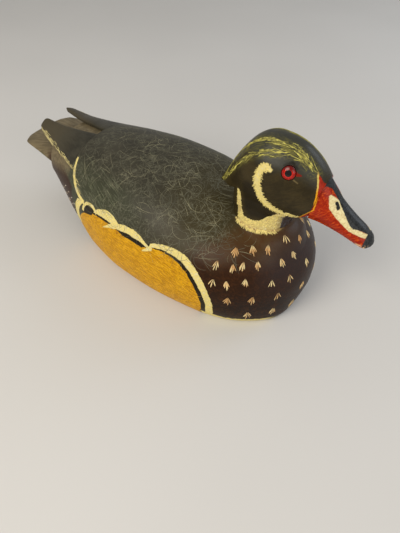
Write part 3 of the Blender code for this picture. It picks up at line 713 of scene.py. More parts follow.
def head_finish():
    """Face, crown, cheek stripe, neck and the coloured line round the bill."""
    paint = paint_settings()
    f = satin("head_paint", 0.36, 0.08)
    fine = f.noise(1.3, 3)
    x, z = f.x + f.noise(5, 2) * 1.6 + fine * 1.4, f.z + f.noise(4, 2, turn=(1, 0, 0)) * 1.4 + fine * 1.0
    side = abs(f.y)
    mottle = f.noise(14, 4)
    brushed = f.noise(1.6, 3, (5, 1, 1), (0, 0.5, 0), 1.0)
    face = f.shaded(paint.head, 0.55, mottle + brushed * 0.6, 0.4)
    top = f.edge(f.z - 147 + mottle * 10 + (f.x - 100) * 0.12, 12)
    coat = f.mix(face, paint.crown, top * 0.9)
    throat = f.lock(x, z, ((90, 124), (96, 108), (112, 104)), (6, 9, 4))
    coat = f.mix(coat, paint.ink, f.edge(throat * -1, 5) * 0.85)
    glow = f.lock(x, z, CREST_LOCKS_FLAT[0], (3, 3, 3, 2, 2, 3, 3, 2, 2, 1)).least(
        f.lock(x, z, CREST_LOCKS_FLAT[1], (2, 2, 3, 3, 3, 3, 3, 2, 2, 1))
    )
    olive = times(paint.crest, 0.24)
    off_middle = f.edge(side - 4 + (110 - f.x).most(0) * 0.2, 3)
    coat = f.mix(coat, olive, f.edge(glow * -1, 4) * off_middle * f.edge(brushed, 0.2) * 0.55)

    dabs = f.noise(1.2, 3, (3, 1, 1), (0, -0.6, 0), 1.2)
    cream_coat = f.shaded(paint.cream, 0.72, dabs, 0.35)
    cream_coat = f.mix(cream_coat, (0.88, 0.82, 0.58), f.edge(dabs - 0.1, 0.2) * 0.5)
    cheek = f.lock(x, z, CHEEK, CHEEK_HALF) + 0.35
    nape = f.lock(x, z, COLLAR_BACK, COLLAR_BACK_HALF)
    low = z - ((x - 97).most(0) * 0.25 + (x - 104).most(0) * 0.75 + 96.3).least(109)
    low = low.most(83 - x).most((x - 112).most(0) - side + 8)
    creamed = f.edge(cheek.least(nape) * -1 + dabs * 2, 0.9) * f.edge(side - 9, 3)
    creamed = creamed.most(f.edge(low * -1 + dabs * 2, 0.9))
    # Below the cheek at the front, the neck takes the breast's chestnut, patched with bluish grey as a painted
    # reflection of the cool rim light.
    front = f.edge(f.x - 113, 5) * f.edge(109 - f.z, 4)
    coat = f.mix(coat, f.mix(paint.breast, (0.075, 0.072, 0.080), f.edge(dabs + f.noise(6, 2), 0.4)), front)
    laid = f.mix(cream_coat, (0.42, 0.28, 0.12), f.edge(dabs * -1, 0.25) * f.edge(110 - f.z, 4) * 0.8)
    coat = f.mix(coat, laid, creamed * f.edge(117.5 - f.x + dabs * 8, 7).most(f.edge(f.z - 106, 3)))

    border = face_border(f, fine)
    forehead = dark_width(f) - side
    border = border.least(f.z - 106.3).least(f.x - 124)
    red_coat = f.shaded(paint.red, 0.6, brushed, 0.4)
    coat = f.mix(coat, red_coat, f.edge(border, 0.6) * f.edge(forehead * -1 + fine * 2, 1.0))
    line = f.mix(paint.orange, (0.66, 0.50, 0.12), f.edge(f.z - 137, 6))
    coat = f.mix(coat, line, f.line(border + 0.3, 0.45, 0.5) * f.edge(146.5 - f.z + fine * 4, 2) * f.edge(f.x - 126, 3))
    corner = f.lock(x, z, ((121.4, 146.2), (125.4, 145)), (1.2, 0.3))
    coat = f.mix(coat, (0.20, 0.010, 0.002), f.edge(corner * -1, 0.6))
    # A dark arc over the eye is painted shadow of the brow over the socket.
    lid_shadow = f.lock(x, z, ((112.5, 150), (117, 152), (121.5, 149)), (0.6, 0.9, 0.5))
    coat = f.mix(coat, (0.010, 0.007, 0.003), f.edge(lid_shadow * -1, 1.6) * 0.8)
    tear = f.lock(x, z, ((122, 141.6), (125, 140.2)), (0.7, 0.3))
    coat = f.mix(coat, (0.16, 0.12, 0.05), f.edge(tear * -1, 0.6) * 0.7)
    f.bump(creamed * 0.8 + dabs * creamed * 0.6 + brushed * 0.35 + fine * 0.3, 0.28)
    f.give("Roughness", 0.36 + mottle * 0.2 + creamed * 0.16)
    return f.done(coat)


def bill_finish():
    """Red sides with a white patch, a black ridge and nail, and the line at the face."""
    paint = paint_settings()
    f = satin("bill_paint", 0.30, 0.12)
    fine = f.noise(1.5, 3)
    x, z = f.x + fine * 0.7, f.z + f.noise(1.7, 2, turn=(1, 0, 0)) * 0.8
    side = abs(f.y)
    flow = f.noise(1.2, 3, (7, 1, 1), (0, 0.75, 0), 0.8)
    streak = f.edge(flow, 0.3)
    red = f.mix(paint.red, times(paint.red, 0.62), streak)
    red = f.mix(red, (0.62, 0.14, 0.012), f.edge(flow * -1 - 0.1, 0.2) * 0.5)
    red = f.mix(red, (0.62, 0.16, 0.012), f.edge(105.5 - z - (x - 150) * 0.22 + fine * 3, 4) * 0.55)
    top = (dark_width(f) + fine - side).least(z - 121 + (x - 143) * 0.48)
    black = (0.014, 0.015, 0.016)
    slate = (0.034, 0.038, 0.041)
    dark = f.mix(black, slate, f.edge(fine + flow, 0.4))
    patch = f.lock(x, z, PATCH, PATCH_HALF)
    white = f.mix((0.80, 0.72, 0.40), (0.62, 0.50, 0.25), f.edge(flow + fine, 0.4))
    coat = f.mix(red, white, f.edge(patch * -1, 0.6))
    coat = f.mix(coat, dark, f.edge(top.most(x - 179.2), 0.6))
    nostril = f.lock(x, z, ((151.6, 127.4), (154.4, 123.8)), (0.7, 0.9))
    coat = f.mix(coat, black, f.edge(nostril * -1, 0.5))
    border = face_border(f, fine)
    coat = f.mix(coat, paint.orange, f.line(border, 0.45, 0.5) * f.edge(top * -1, 1))
    chips = f.edge(f.noise(2.2, 3, warp=1) - 0.02, 0.1) * f.edge(103 - z, 1.4) * f.edge(x - 170, 4) * f.edge(182 - x, 3)
    coat = f.mix(coat, (0.80, 0.52, 0.28), chips)
    f.bump(flow * 0.4 + fine * 0.3 + f.edge(patch * -1, 0.6) * 0.5, 0.22)
    f.give("Roughness", 0.30 + fine * 0.2 + streak * 0.06)
    return f.done(coat)


def wing_finish():
    paint = paint_settings()
    f = satin("wing_paint", 0.40)
    mottle, fine = f.noise(16, 4), f.noise(1.4, 3, (8, 1, 1), (0, 0, 0.3), 0.6)
    side = abs(f.y)
    coat = f.shaded(paint.back, 0.55, mottle + fine * 0.5, 0.4)
    coat = f.mix(coat, (0.080, 0.066, 0.040), f.edge(-118 - f.x + mottle * 40, 40) * 0.7)
    # A pale gold line along each wing's outer edge, broken up by noise, is a painted highlight on the rounded edge.
    outer = side - 46 - (f.x - WING_STEP) * 23 / 68
    rim = f.line(outer + f.noise(3, 3) * 1.2, 0.9, 0.6)
    rim_glint = f.edge(f.noise(4, 4, (3, 1, 1)) + 0.08, 0.12)
    coat = f.mix(coat, (0.50, 0.43, 0.20), rim * rim_glint)
    f.bump(fine * 0.5 + mottle * 0.4, 0.3)
    return f.done(coat, 0.40 + mottle * 0.25)


def tail_finish():
    paint = paint_settings()
    f = satin("tail_paint", 0.5, 0.05)
    fan = f.y / ((f.x * -1 - 60).most(20)) * 100
    flat = f.node("ShaderNodeCombineXYZ", {}, {0: f.x * 0.05, 1: fan * 0.5, 2: f.z * 0.05})
    sockets = {"Vector": flat, "Scale": 1.0, "Detail": 3.0, "Roughness": 0.6}
    quills = f.node("ShaderNodeTexNoise", {}, sockets) - 0.5
    mottle = f.noise(18, 4)
    coat = f.shaded(paint.tan, 0.62, quills + mottle * 0.6, 0.35)
    coat = f.mix(coat, (0.085, 0.088, 0.030), f.edge(72.5 - f.z + mottle * 10, 5) * 0.8)
    coat = f.mix(coat, (0.045, 0.020, 0.012), f.edge(f.x + 140 + mottle * 14, 10) * f.edge(78 - f.z, 6) * 0.8)
    f.bump(quills * 0.8 + mottle * 0.3, 0.4)
    return f.done(coat, 0.50 + mottle * 0.25)


def board_finish():
    """Painted sides that carry the body's pattern down to a bare, sealed pine underside."""
    made = body_finish()
    made.name = "board_paint"
    return made


def wood_finish(name, light, dark, ring=5.0, stretch=(14, 1, 1), roughness=0.55):
    f = Finish(name, roughness=roughness, coat_weight=0.08, coat_roughness=0.4)
    grain = f.noise(ring, 3, stretch, warp=0.5)
    pores = f.noise(0.7, 2, (18, 1, 1))
    coat = f.mix(light, dark, f.edge(grain + pores * 0.3, 0.35))
    f.bump(grain * 0.5 + pores * 0.6, 0.15)
    return f.done(coat, roughness + pores * 0.25)


def metal_finish(name, clean, dull, roughness):
    f = Finish(name, roughness=roughness, metallic=1.0)
    stain, lines = f.noise(2.5, 4), f.noise(0.4, 2, (1, 6, 1))
    f.bump(lines * 0.5 + stain * 0.5, 0.05)
    return f.done(f.mix(clean, dull, f.edge(stain, 0.35)), roughness + stain * 0.3 + lines * 0.1)


def lead_finish():
    f = Finish("lead", roughness=0.55, metallic=0.85)
    pits, bloom = f.noise(1.6, 4), f.noise(9, 4)
    f.bump(pits, 0.35)
    return f.done(f.mix((0.24, 0.245, 0.26), (0.46, 0.46, 0.47), f.edge(bloom + pits * 0.5, 0.4)), 0.55 + bloom * 0.3)


def leather_finish():
    f = Finish("leather", roughness=0.65)
    grain = f.noise(0.9, 4)
    f.bump(grain, 0.15)
    return f.done(f.mix((0.22, 0.10, 0.045), (0.10, 0.045, 0.02), f.edge(grain, 0.3)))


def stroke_finish(name, light, dark, spread=4.0, roughness=0.45):
    """Thick paint of a stroke, which changes from one stroke to the next."""
    f = Finish(name, roughness=roughness, coat_weight=0.04, coat_roughness=0.3, specular_ior_level=0.22)
    change, fine = f.noise(spread, 3), f.noise(0.5, 2)
    f.bump(fine, 0.06)
    return f.done(f.mix(light, dark, f.edge(change + fine * 0.3, 0.3)), roughness + fine * 0.2)


def eye_finish(side, word):
    """Glass whose red ring and black pupil show through the dome."""
    f = Finish(f"eye_glass_{word}", roughness=0.05, coat_weight=0.15, coat_roughness=0.03, specular_ior_level=0.28)
    aim, centre = mirrored(EYE_AIM, side), mirrored(EYE, side)
    out = f.node("ShaderNodeVectorMath", {"operation": "SUBTRACT"}, {0: f.place, 1: centre})
    along = f.node("ShaderNodeVectorMath", {"operation": "DOT_PRODUCT"}, {0: out, 1: aim}, out="Value")
    reach = f.node("ShaderNodeVectorMath", {"operation": "DOT_PRODUCT"}, {0: out, 1: out}, out="Value")
    radius = (reach - along * along).most(0).root()
    mottle = f.noise(1.1, 3)
    red = f.mix((0.50, 0.006, 0.001), (0.26, 0.003, 0.001), f.edge(mottle + (radius - 3.2) * 0.10, 0.3))
    red = f.mix(red, (0.80, 0.05, 0.02), f.edge(3.0 - radius + mottle, 1.2) * 0.4)
    # The upper part of the iris darkens as painted shadow of the lid.
    red = f.mix(red, (0.10, 0.003, 0.001), f.edge(f.z - EYE.z - 2.2 + mottle, 2.4) * 0.8)
    coat = f.mix(red, (0.008, 0.006, 0.006), f.edge(2.5 - radius, 0.3))
    coat = f.mix(coat, (0.03, 0.004, 0.003), f.edge(radius - 4.85, 0.3))
    return f.done(coat)


# ---------------------------------------------------------------- brush


# Across and up over a stroke's width: a flat-topped stroke and a fine ridge.
FLAT = ((1, -0.25), (0.35, 1), (-0.35, 1), (-1, -0.25), (1, -0.25))
RIDGE = ((1, -0.25), (0, 1), (-1, -0.25), (1, -0.25))


class Brush:
    """Lays raised strokes of paint on a piece. Each is a thin closed ribbon that thins to both ends."""

    def __init__(self, name, finish, body, slot, relief=None, seed=1):
        self.name, self.finish, self.body, self.slot = name, finish, body, slot
        self.relief = relief or shape_settings().relief
        self.dice = random.Random(seed)
        self.bm = bmesh.new()

    def stroke(self, tree, start, direction, reach, half, bend=0.0, steps=6, blunt=0.5, section=FLAT, lead=1.0):
        """One stroke from a point on the surface along a direction.

        Bend is its curvature per metre, and lead moves its widest place.
        """
        spot, normal, _, _ = tree.find_nearest(start)
        if spot is None:
            return
        direction = (direction - normal * direction.dot(normal)).normalized()
        step = reach / steps
        rail = []
        for _ in range(steps + 1):
            rail.append((spot.copy(), normal.copy(), direction.copy()))
            ahead, facing, _, _ = tree.find_nearest(spot + direction * step)
            if ahead is None:
                break
            if facing.dot(normal) < 0.3:
                break
            spot, normal = ahead, facing
            direction = Matrix.Rotation(bend * step, 3, normal) @ direction
            direction = (direction - normal * direction.dot(normal)).normalized()
        count = len(rail) - 1
        if count < 3:
            return
        sides = len(section) - 1
        made = bmesh.ops.create_grid(self.bm, x_segments=count, y_segments=sides, size=0.5)["verts"]
        for vert in made:
            i, j = round((vert.co.x + 0.5) * count), round((vert.co.y + 0.5) * sides)
            spot, normal, direction = rail[i]
            width = math.sin(math.pi * (i / count) ** lead) ** blunt
            if i in (0, count):
                vert.co = spot - normal * self.relief * 0.3
                continue
            across, up = section[j]
            vert.co = spot + direction.cross(normal) * (half * width * across) + normal * (self.relief * width * up)

    def lift(self):
        """The strokes so far as one finished piece."""
        bmesh.ops.remove_doubles(self.bm, verts=self.bm.verts, dist=0.0000005)
        bmesh.ops.recalc_face_normals(self.bm, faces=self.bm.faces)
        made = make(self.name, self.bm, self.finish, sharp=80)
        settle(made, self.body, self.slot)
        return made


def run_along(points):
    """How far along the line each of its points is."""
    return np.concatenate([[0], np.cumsum([math.dist(a, b) for a, b in zip(points, points[1:])])])


def tree_of(*names):
    """The surfaces of finished pieces, for strokes to lie on."""
    bm = bmesh.new()
    for name in names:
        bm.from_mesh(bpy.data.objects[name].data)
    tree = BVHTree.FromBMesh(bm)
    bm.free()
    return tree


def from_outside(tree, point, toward):
    """Where a line from outside the piece first meets it."""
    away = (point - toward).normalized()
    hit, normal, _, _ = tree.ray_cast(toward + away * 0.4, -away)
    return hit, normal


def from_side(tree, side, x, z):
    """Where a level line from one side of the bird first meets the piece, at a station and height in millimetres."""
    return from_outside(tree, Vector((x, side * 120, z)) * MM, Vector((x, 0, z)) * MM)[0]


# ---------------------------------------------------------------- operators


class PieceOperator:
    bl_options = {"REGISTER", "UNDO"}

    def execute(self, context):
        self.build()
        return {"FINISHED"}


class DECOY_OT_body(PieceOperator, bpy.types.Operator):
    """Carve the hollow upper body with its neck seat and rump step"""

    bl_idname = "decoy.body"
    bl_label = "Upper Body"

    def build(self):
        reach = from_nose(STERN)
        foot = hermite(*SEAT_FOOT.T)

        def place(u, v):
            x = NOSE - (reach * v) ** 2
            y, z = hull_section(x, 1 - np.abs(2 * u - 1))
            y = np.where(u < 0.5, -y, y)
            out = np.hypot(x - NECK_X, y)
            near, upper = np.abs(out - SEAT_RADIUS) < 0.75, z > 60
            pull = np.where(near & upper, SEAT_RADIUS / np.maximum(out, 1), 1)
            x, y = NECK_X + (x - NECK_X) * pull, y * pull
            raised = np.maximum(z, foot(np.maximum(out, SEAT_RADIUS)))
            z = np.where((z > 60) & (out < 45), raised, z)
            z = np.where((z > 60) & (out < SEAT_RADIUS + 1), np.minimum(z, SEAT_Z), z)
            return x, y, np.where((z > 60) & (out < SEAT_RADIUS + 0.8), SEAT_Z, z)

        bm = skin(220, 230, place)
        cut_flat(bm, Vector((0, 0, SEAM * MM)), Vector((0, 0, -1)))
        floor = max(bm.faces, key=lambda face: face.calc_area())
        bmesh.ops.inset_region(bm, faces=[floor], thickness=14 * MM, use_even_offset=False)
        for rise, narrow in ((38, 1.0), (16, 0.93), (9, 0.8)):
            made = bmesh.ops.extrude_face_region(bm, geom=[floor])["geom"]
            bmesh.ops.delete(bm, geom=[floor], context="FACES_ONLY")
            floor = next(item for item in made if isinstance(item, bmesh.types.BMFace))
            centre = floor.calc_center_median()
            bmesh.ops.translate(bm, verts=floor.verts, vec=(0, 0, rise * MM))
            bmesh.ops.scale(bm, verts=floor.verts, vec=(narrow, narrow, 1), space=Matrix.Translation(-centre))
        bmesh.ops.recalc_face_normals(bm, faces=bm.faces)
        body = make("body", bm, body_finish())

        def cut(u, v):
            x = WING_STEP + (STERN - 5 - WING_STEP) * v
            far = wing_edges(x)[1] + 0.3
            upper = u < 0.5
            y = np.where(upper, far * (1 - 4 * u), far * (4 * u - 3))
            z = np.where(upper, hull_top(x, y, -6), hull_top(x, y, WING_THICK + 0.3))
            return x, y, z

        carve(body, [skin(60, 30, lambda u, v: step_ring(u, v, cut))])
        settle(body, "body", "body_paint", "body_upper")


def step_ring(u, v, cut):
    """Closes the rump cutter's ring on itself, so that its seam merges."""
    return cut(np.where(u > 0.9999, 0, u), v)


class DECOY_OT_board(PieceOperator, bpy.types.Operator):
    """Fit the bottom board with its pockets and countersunk holes"""

    bl_idname = "decoy.board"
    bl_label = "Bottom Board"

    def build(self):
        reach = from_nose(STERN)

        def place(u, v):
            x = NOSE - (reach * v) ** 2
            y, z = hull_section(x, 1 - np.abs(2 * u - 1))
            return x, np.where(u < 0.5, -y, y), z

        bm = skin(200, 200, place)
        cut_flat(bm, Vector((0, 0, (SEAM - 0.3) * MM)), Vector((0, 0, 1)))
        board = make("bottom_board_painted", bm, board_finish())
        board.data.materials.append(wood_finish("sealed_pine", (0.46, 0.31, 0.16), (0.34, 0.20, 0.09)))
        for face in board.data.polygons:
            if face.normal.z < -0.97 and face.center.z < 0.6 * MM:
                face.material_index = 1
        cutters = [
            pocket((80.6, 42.6, 6.3), (BALLAST_X, 0, 2.15), 4),
            pocket((21, 27, 7.5), (TIE_X - 4.5, 0, 2.75), 4),
        ]
        for x, y in BOARD_SCREWS:
            for side, _ in SIDES:
                hole = spun([(0, -1), (4.2, -1), (4.2, 0.7), (2.05, 2.9), (2.05, 12), (0, 12)], 32)
                bmesh.ops.translate(hole, verts=hole.verts, vec=(x * MM, side * y * MM, 0))
                cutters.append(hole)
        carve(board, cutters)
        settle(board, "body", "sealed_pine", "bottom_board")


class DECOY_OT_wings(PieceOperator, bpy.types.Operator):
    """Shape both wing tips, blades that stand clear of the rump"""

    bl_idname = "decoy.wings"
    bl_label = "Wing Tips"

    def build(self):
        finish = wing_finish()
        round_end = 5.0
        for side, word in SIDES:

            def place(u, v, side=side):
                x = WING_STEP - 0.3 + (WING_END - WING_STEP + 0.3) * (1 - (1 - v) ** 1.7)
                near, far = wing_edges(x)
                left = np.clip((x - WING_END) / round_end, 0, 1)
                closing = np.sqrt(np.maximum(1 - (1 - left) ** 2, 0))
                turn = math.tau * u
                across, deep = power(np.cos(turn), 0.3), power(np.sin(turn), 0.42)
                middle, half = (near + far) / 2, (far - near) / 2
                y = middle + half * across * (0.45 + 0.55 * closing) * np.where(left > 0, 1, 0)
                thin = np.where(left > 0, 0.2 + 0.8 * closing, 0)
                inset = WING_THICK / 2 * (1 - deep * thin)
                return x, side * y, hull_top(x, y) - inset * 1.02

            blade = make(f"wing_tip_{word}_painted", skin(96, 110, place), finish)
            settle(blade, "body", "wing_paint", f"wing_tip_{word}")


class DECOY_OT_tail(PieceOperator, bpy.types.Operator):
    """Shape the tail fan"""

    bl_idname = "decoy.tail"
    bl_label = "Tail"

    def build(self):
        half_at, top_at, bottom_at = TAIL_CURVES
        first, last = -TAIL[0, 0], -TAIL[-1, 0]

        def place(u, v):
            main = np.clip(v / 0.85, 0, 1)
            x = last - (last - first) * (1 - main) ** 1.6
            half, top, bottom = half_at(x), top_at(x), bottom_at(x)
            middle = bottom + 0.35 * (top - bottom)
            turn = math.tau * u
            rise = np.where(np.sin(turn) > 0, top - middle, middle - bottom)
            y, z = half * power(np.cos(turn), 0.86), middle + rise * power(np.sin(turn), 0.95)
            end = np.clip((v - 0.85) / 0.15, 0, 1)
            closing = np.sqrt(np.maximum(1 - end**2, 0))
            x = x + (-TAIL_TIP[0] - last) * (1 - np.sqrt(np.maximum(1 - end, 0)))
            return -x, y * closing, TAIL_TIP[1] + (z - TAIL_TIP[1]) * closing

        settle(make("tail_painted", skin(120, 110, place), tail_finish()), "body", "tail_paint", "tail")


class DECOY_OT_head(PieceOperator, bpy.types.Operator):
    """Carve the head and neck with the crest, the face cut and both eye sockets"""

    bl_idname = "decoy.head"
    bl_label = "Head"

    def build(self):
        dome = CROWN_Z - (CROWN_Z - 148) * np.linspace(0.98, 0, 40) ** 2
        levels = np.concatenate([np.linspace(90.3, 102.4, 22), np.linspace(103.2, 148, 90), dome])
        rows = len(levels) - 1

        def place(u, v):
            z = levels[np.rint(v * rows).astype(int)]
            front, back, half, middle = (curve(z) for curve in HEAD_CURVES)
            closing = np.sqrt(np.clip((CROWN_Z - z) / (CROWN_Z - HEAD[-1, 0]), 0, 1))
            front, back, middle = (CROWN_X + (x - CROWN_X) * closing for x in (front, back, middle))
            rise = (z - CREST_Z) / (CROWN_Z - CREST_Z)
            pinch = np.where(rise < 0, 1, 1 + 2.5 * (1 - np.clip(rise, 0, 1)) ** 6)
            turn = math.tau * u
            ahead = np.cos(turn)
            reach = np.where(ahead > 0, front - middle, middle - back)
            sharp = np.where(ahead > 0, 1, 1 + (pinch - 1) * ahead * ahead)
            y = half * closing * power(np.where(u > 0.9999, 0, np.sin(turn)), sharp)
            return middle + reach * ahead, y, z

        bm = skin(200, rows, place)
        cut_flat(bm, FACE_MIDDLE * MM, FACE_AIM)
        head = make("head_painted", bm, head_finish())
        sockets = []
        for side, _ in SIDES:
            aim = mirrored(EYE_AIM, side)
            sockets.append(rod(EYE_RADIUS + 0.3, 20, mirrored(EYE, side) + aim * 6, aim, 64))
        carve(head, [under_crest(), *sockets])
        settle(head, "head", "head_paint", "head")


class DECOY_OT_bill(PieceOperator, bpy.types.Operator):
    """Shape the bill with its nostrils and the line of the mouth, and paint its nail"""

    bl_idname = "decoy.bill"
    bl_label = "Bill"

    def build(self):
        def place(u, v):
            main, end = np.clip(v / 0.9, 0, 1), np.clip((v - 0.9) / 0.1, 0, 1)
            ridge_x, ridge_z, jaw_x, jaw_z, half = (curve(1 - (1 - main) ** 1.3) for curve in BILL_CURVES)
            turn = math.tau * u
            up, out = power(np.sin(turn), 0.85), power(np.cos(turn), 0.8)
            x = (ridge_x + jaw_x) / 2 + (ridge_x - jaw_x) / 2 * up
            z = (ridge_z + jaw_z) / 2 + (ridge_z - jaw_z) / 2 * up
            y = half * out * (1 - 0.3 * np.maximum(up, 0))
            mouth = np.exp(-(((up + 0.62) / 0.07) ** 2)) * np.clip((1 - v) * 6, 0, 1) * np.clip(v * 8, 0, 1)
            nostril_x, nostril_z = x - 153, z - 125.6
            along, across = nostril_x * 0.61 - nostril_z * 0.79, nostril_x * 0.79 + nostril_z * 0.61
            dent = np.exp(-((along / 2.4) ** 2) - (across / 0.85) ** 2)
            y = y - np.sign(y) * (0.55 * mouth + 1.5 * dent) * np.minimum(np.abs(y) / 2, 1)
            closing = np.sqrt(np.maximum(1 - end**2, 0))
            x = BILL_TIP[0] + (x - BILL_TIP[0]) * np.where(end > 0, closing, 1)
            z = BILL_TIP[1] + (z - BILL_TIP[1]) * closing
            return x + FACE_AIM.x * 0.03, y * closing, z + FACE_AIM.z * 0.03

        settle(make("bill_painted", skin(150, 150, place), bill_finish()), "head", "bill_paint", "bill")


class DECOY_OT_eyes(PieceOperator, bpy.types.Operator):
    """Set both glass eyes"""

    bl_idname = "decoy.eyes"
    bl_label = "Eyes"

    def build(self):
        rim, apex = -0.6, 1.5
        arc = [(EYE_RADIUS * math.cos(a), rim + (apex - rim) * math.sin(a)) for a in np.linspace(0, math.pi / 2, 24)]
        arc[-1] = (0, apex)
        for side, word in SIDES:
            aim, centre = mirrored(EYE_AIM, side), mirrored(EYE, side) * MM
            bm = spun([(0, -1.7), (EYE_RADIUS, -1.7), *arc])
            bmesh.ops.transform(bm, verts=bm.verts, matrix=Matrix.Translation(centre) @ ball_turn(aim))
            lens = make(f"eye_{word}", bm, eye_finish(side, word))
            settle(lens, "head", "eye_glass", f"eye_lens_{word}")


class DECOY_OT_fittings(PieceOperator, bpy.types.Operator):
    """Give the screws, the weight, the line ring and the neck fittings their finishes"""

    bl_idname = "decoy.fittings"
    bl_label = "Fittings"

    def build(self):
        brass = metal_finish("aged_brass", (0.62, 0.42, 0.16), (0.30, 0.19, 0.08), 0.34)
        zinc = metal_finish("zinc_plate", (0.56, 0.57, 0.60), (0.34, 0.34, 0.36), 0.36)
        birch = wood_finish("birch", (0.62, 0.47, 0.29), (0.50, 0.35, 0.19), 2.0, (1, 1, 10))
        lead, leather = lead_finish(), leather_finish()
        iris = stroke_finish("red_iris_paint", (0.6, 0.012, 0.006), (0.3, 0.004, 0.002), 1.5, 0.3)
        looks = {
            "board_screw": brass,
            "ballast_screw": brass,
            "line_tie": brass,
            "ballast_weight": lead,
            "neck_friction": leather,
            "neck_": zinc,
            "eye_iris": iris,
            "board_dowel": birch,
            "tail_dowel": birch,
            "bill_dowel": birch,
            "wing_pin": birch,
        }
        for name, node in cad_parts.items():
            if node.hide_render:
                continue
            look = next((looks[start] for start in looks if name.startswith(start)), None)
            if look is None:
                raise RuntimeError(f"no finish for {name}")
            for slot in node.material_slots:
                slot.material = look


class DECOY_OT_flecks(PieceOperator, bpy.types.Operator):
    """Lay the breast's rows of cream flecks, each a fan of short strokes"""

    bl_idname = "decoy.flecks"
    bl_label = "Breast Flecks"

    def build(self):
        cream = stroke_finish("fleck_cream", (0.80, 0.66, 0.34), (0.62, 0.36, 0.14), 9)
        brush = Brush("breast_flecks", cream, "body", "body_paint", 0.28 * MM, seed=7)
        tree = tree_of("body", "bottom_board_painted")
        dice = brush.dice
        axis_x = 70 * MM
        for height, angles in FLECKS:
            size = shape_settings().fleck * (1 + max(0, 54 - height) * 0.011)
            for angle in angles:
                turn = math.radians(-angle + dice.uniform(-1.5, 1.5))
                out = Vector((math.cos(turn), math.sin(turn), 0))
                centre = Vector((axis_x, 0, (height + dice.uniform(-1.2, 1.2)) * MM))
                top, normal = from_outside(tree, centre + out, centre)
                if top is None:
                    continue
                down = Vector((0, 0, -1)) - normal * -normal.z
                down = (down - normal * down.dot(normal)).normalized()
                lean = dice.uniform(-0.25, 0.25)
                count = dice.choice((3, 4, 5, 5))
                for n in range(count):
                    fan = (n / (count - 1) - 0.5) * dice.uniform(0.62, 0.86) + lean
                    reach = size * dice.uniform(0.72, 1.0) * (1 - 0.12 * abs(n - (count - 1) / 2))
                    aim = Matrix.Rotation(fan, 3, normal) @ down
                    start = top - down * size * 0.5 + aim * dice.uniform(0, 0.9) * MM
                    half = dice.uniform(0.36, 0.62) * MM
                    brush.stroke(tree, start, aim, reach, half, dice.uniform(-25, 25), 6, 0.75, FLAT, 1.7)
        brush.lift()


class DECOY_OT_collar(PieceOperator, bpy.types.Operator):
    """Lay the feathered strokes of the collar on the body and on the neck"""

    bl_idname = "decoy.collar"
    bl_label = "Collar"

    def build(self):
        paint, half = paint_settings(), shape_settings().bristle
        cream = stroke_finish("collar_cream", paint.cream, times(paint.cream, 0.7), 1.6)
        tree = tree_of("body")
        brush = Brush("collar_strokes_body", cream, "body", "body_paint", 0.25 * MM, seed=3)
        dice = brush.dice
        for _ in range(300):
            angle = math.radians(dice.choice((-1, 1)) * (122 - 82 * dice.random() ** 0.9))
            out = Vector((math.cos(angle), math.sin(angle), 0))
            radius = dice.uniform(25.2, 26.4) * MM
            spot = Vector((NECK_X * MM, 0, 89 * MM)) + out * radius
            sweep = Matrix.Rotation(math.copysign(dice.uniform(0.1, 0.9), -angle), 3, "Z") @ out
            reach = dice.uniform(1.8, 3.4) * MM
            brush.stroke(tree, spot, sweep + Vector((0, 0, -0.6)), reach, half * dice.uniform(0.5, 1.0))
        brush.lift()

        tree = tree_of("head_painted")
        brush = Brush("collar_strokes_neck", cream, "head", "head_paint", 0.25 * MM, seed=4)
        dice = brush.dice
        for _ in range(520):
            angle = math.radians(dice.choice((-1, 1)) * (120 - 82 * dice.random() ** 0.85))
            out = Vector((math.cos(angle), math.sin(angle), 0))
            x = NECK_X + 24 * math.cos(angle)
            inner = min(109, 97 + max(0, x - 97) * 0.25 + max(0, x - 104) * 0.75)
            height = inner - dice.random() ** 1.6 * (inner - 93)
            centre = Vector((NECK_X * MM, 0, height * MM))
            spot, normal = from_outside(tree, centre + out, centre)
            if spot is None:
                continue
            aim = Matrix.Rotation(math.copysign(dice.uniform(0.2, 1.0), angle), 3, normal) @ Vector((0, 0, -1))
            brush.stroke(tree, spot, aim, dice.uniform(2.5, 4.5) * MM, half * dice.uniform(0.6, 1.1))
        for side, _ in SIDES:
            self.barbs(brush, tree, COLLAR_BACK, COLLAR_BACK_HALF, side, 110, 0.75)
        brush.lift()

        brush = Brush("cheek_strokes", cream, "head", "head_paint", 0.28 * MM, seed=5)
        for side, _ in SIDES:
            self.barbs(brush, tree, CHEEK, CHEEK_HALF, side, 360, 1.05)
        brush.lift()

    @staticmethod
    def barbs(brush, tree, points, halves, side, count, size):
        """Strokes that lean off both edges of a stripe on the side of the head."""
        dice, half = brush.dice, shape_settings().bristle
        run = run_along(points)
        for _ in range(count):
            at = dice.uniform(0, run[-1])
            x, z, wide = (np.interp(at, run, values) for values in (*zip(*points), halves))
            ahead_x, ahead_z = (np.interp(min(at + 1, run[-1]), run, values) for values in zip(*points))
            forward = Vector((ahead_x - x, 0, ahead_z - z))
            if forward.length < 0.01:
                continue
            forward.normalize()
            edge = dice.choice((-1, 1))
            away = Vector((forward.z, 0, -forward.x)) * edge
            start = Vector((x, 0, z)) + away * wide * dice.uniform(0.1, 0.75)
            spot, _ = from_outside(tree, Vector((start.x, side * 60, start.z)) * MM, Vector((start.x, 0, start.z)) * MM)
            if spot is None:
                continue
            aim = forward * dice.uniform(0.3, 0.9) + away
            reach = dice.uniform(0.55, 0.95) * (1.2 + wide * 0.75) * size * MM
            brush.stroke(tree, spot, aim, reach, half * dice.uniform(0.55, 1.0), steps=5)


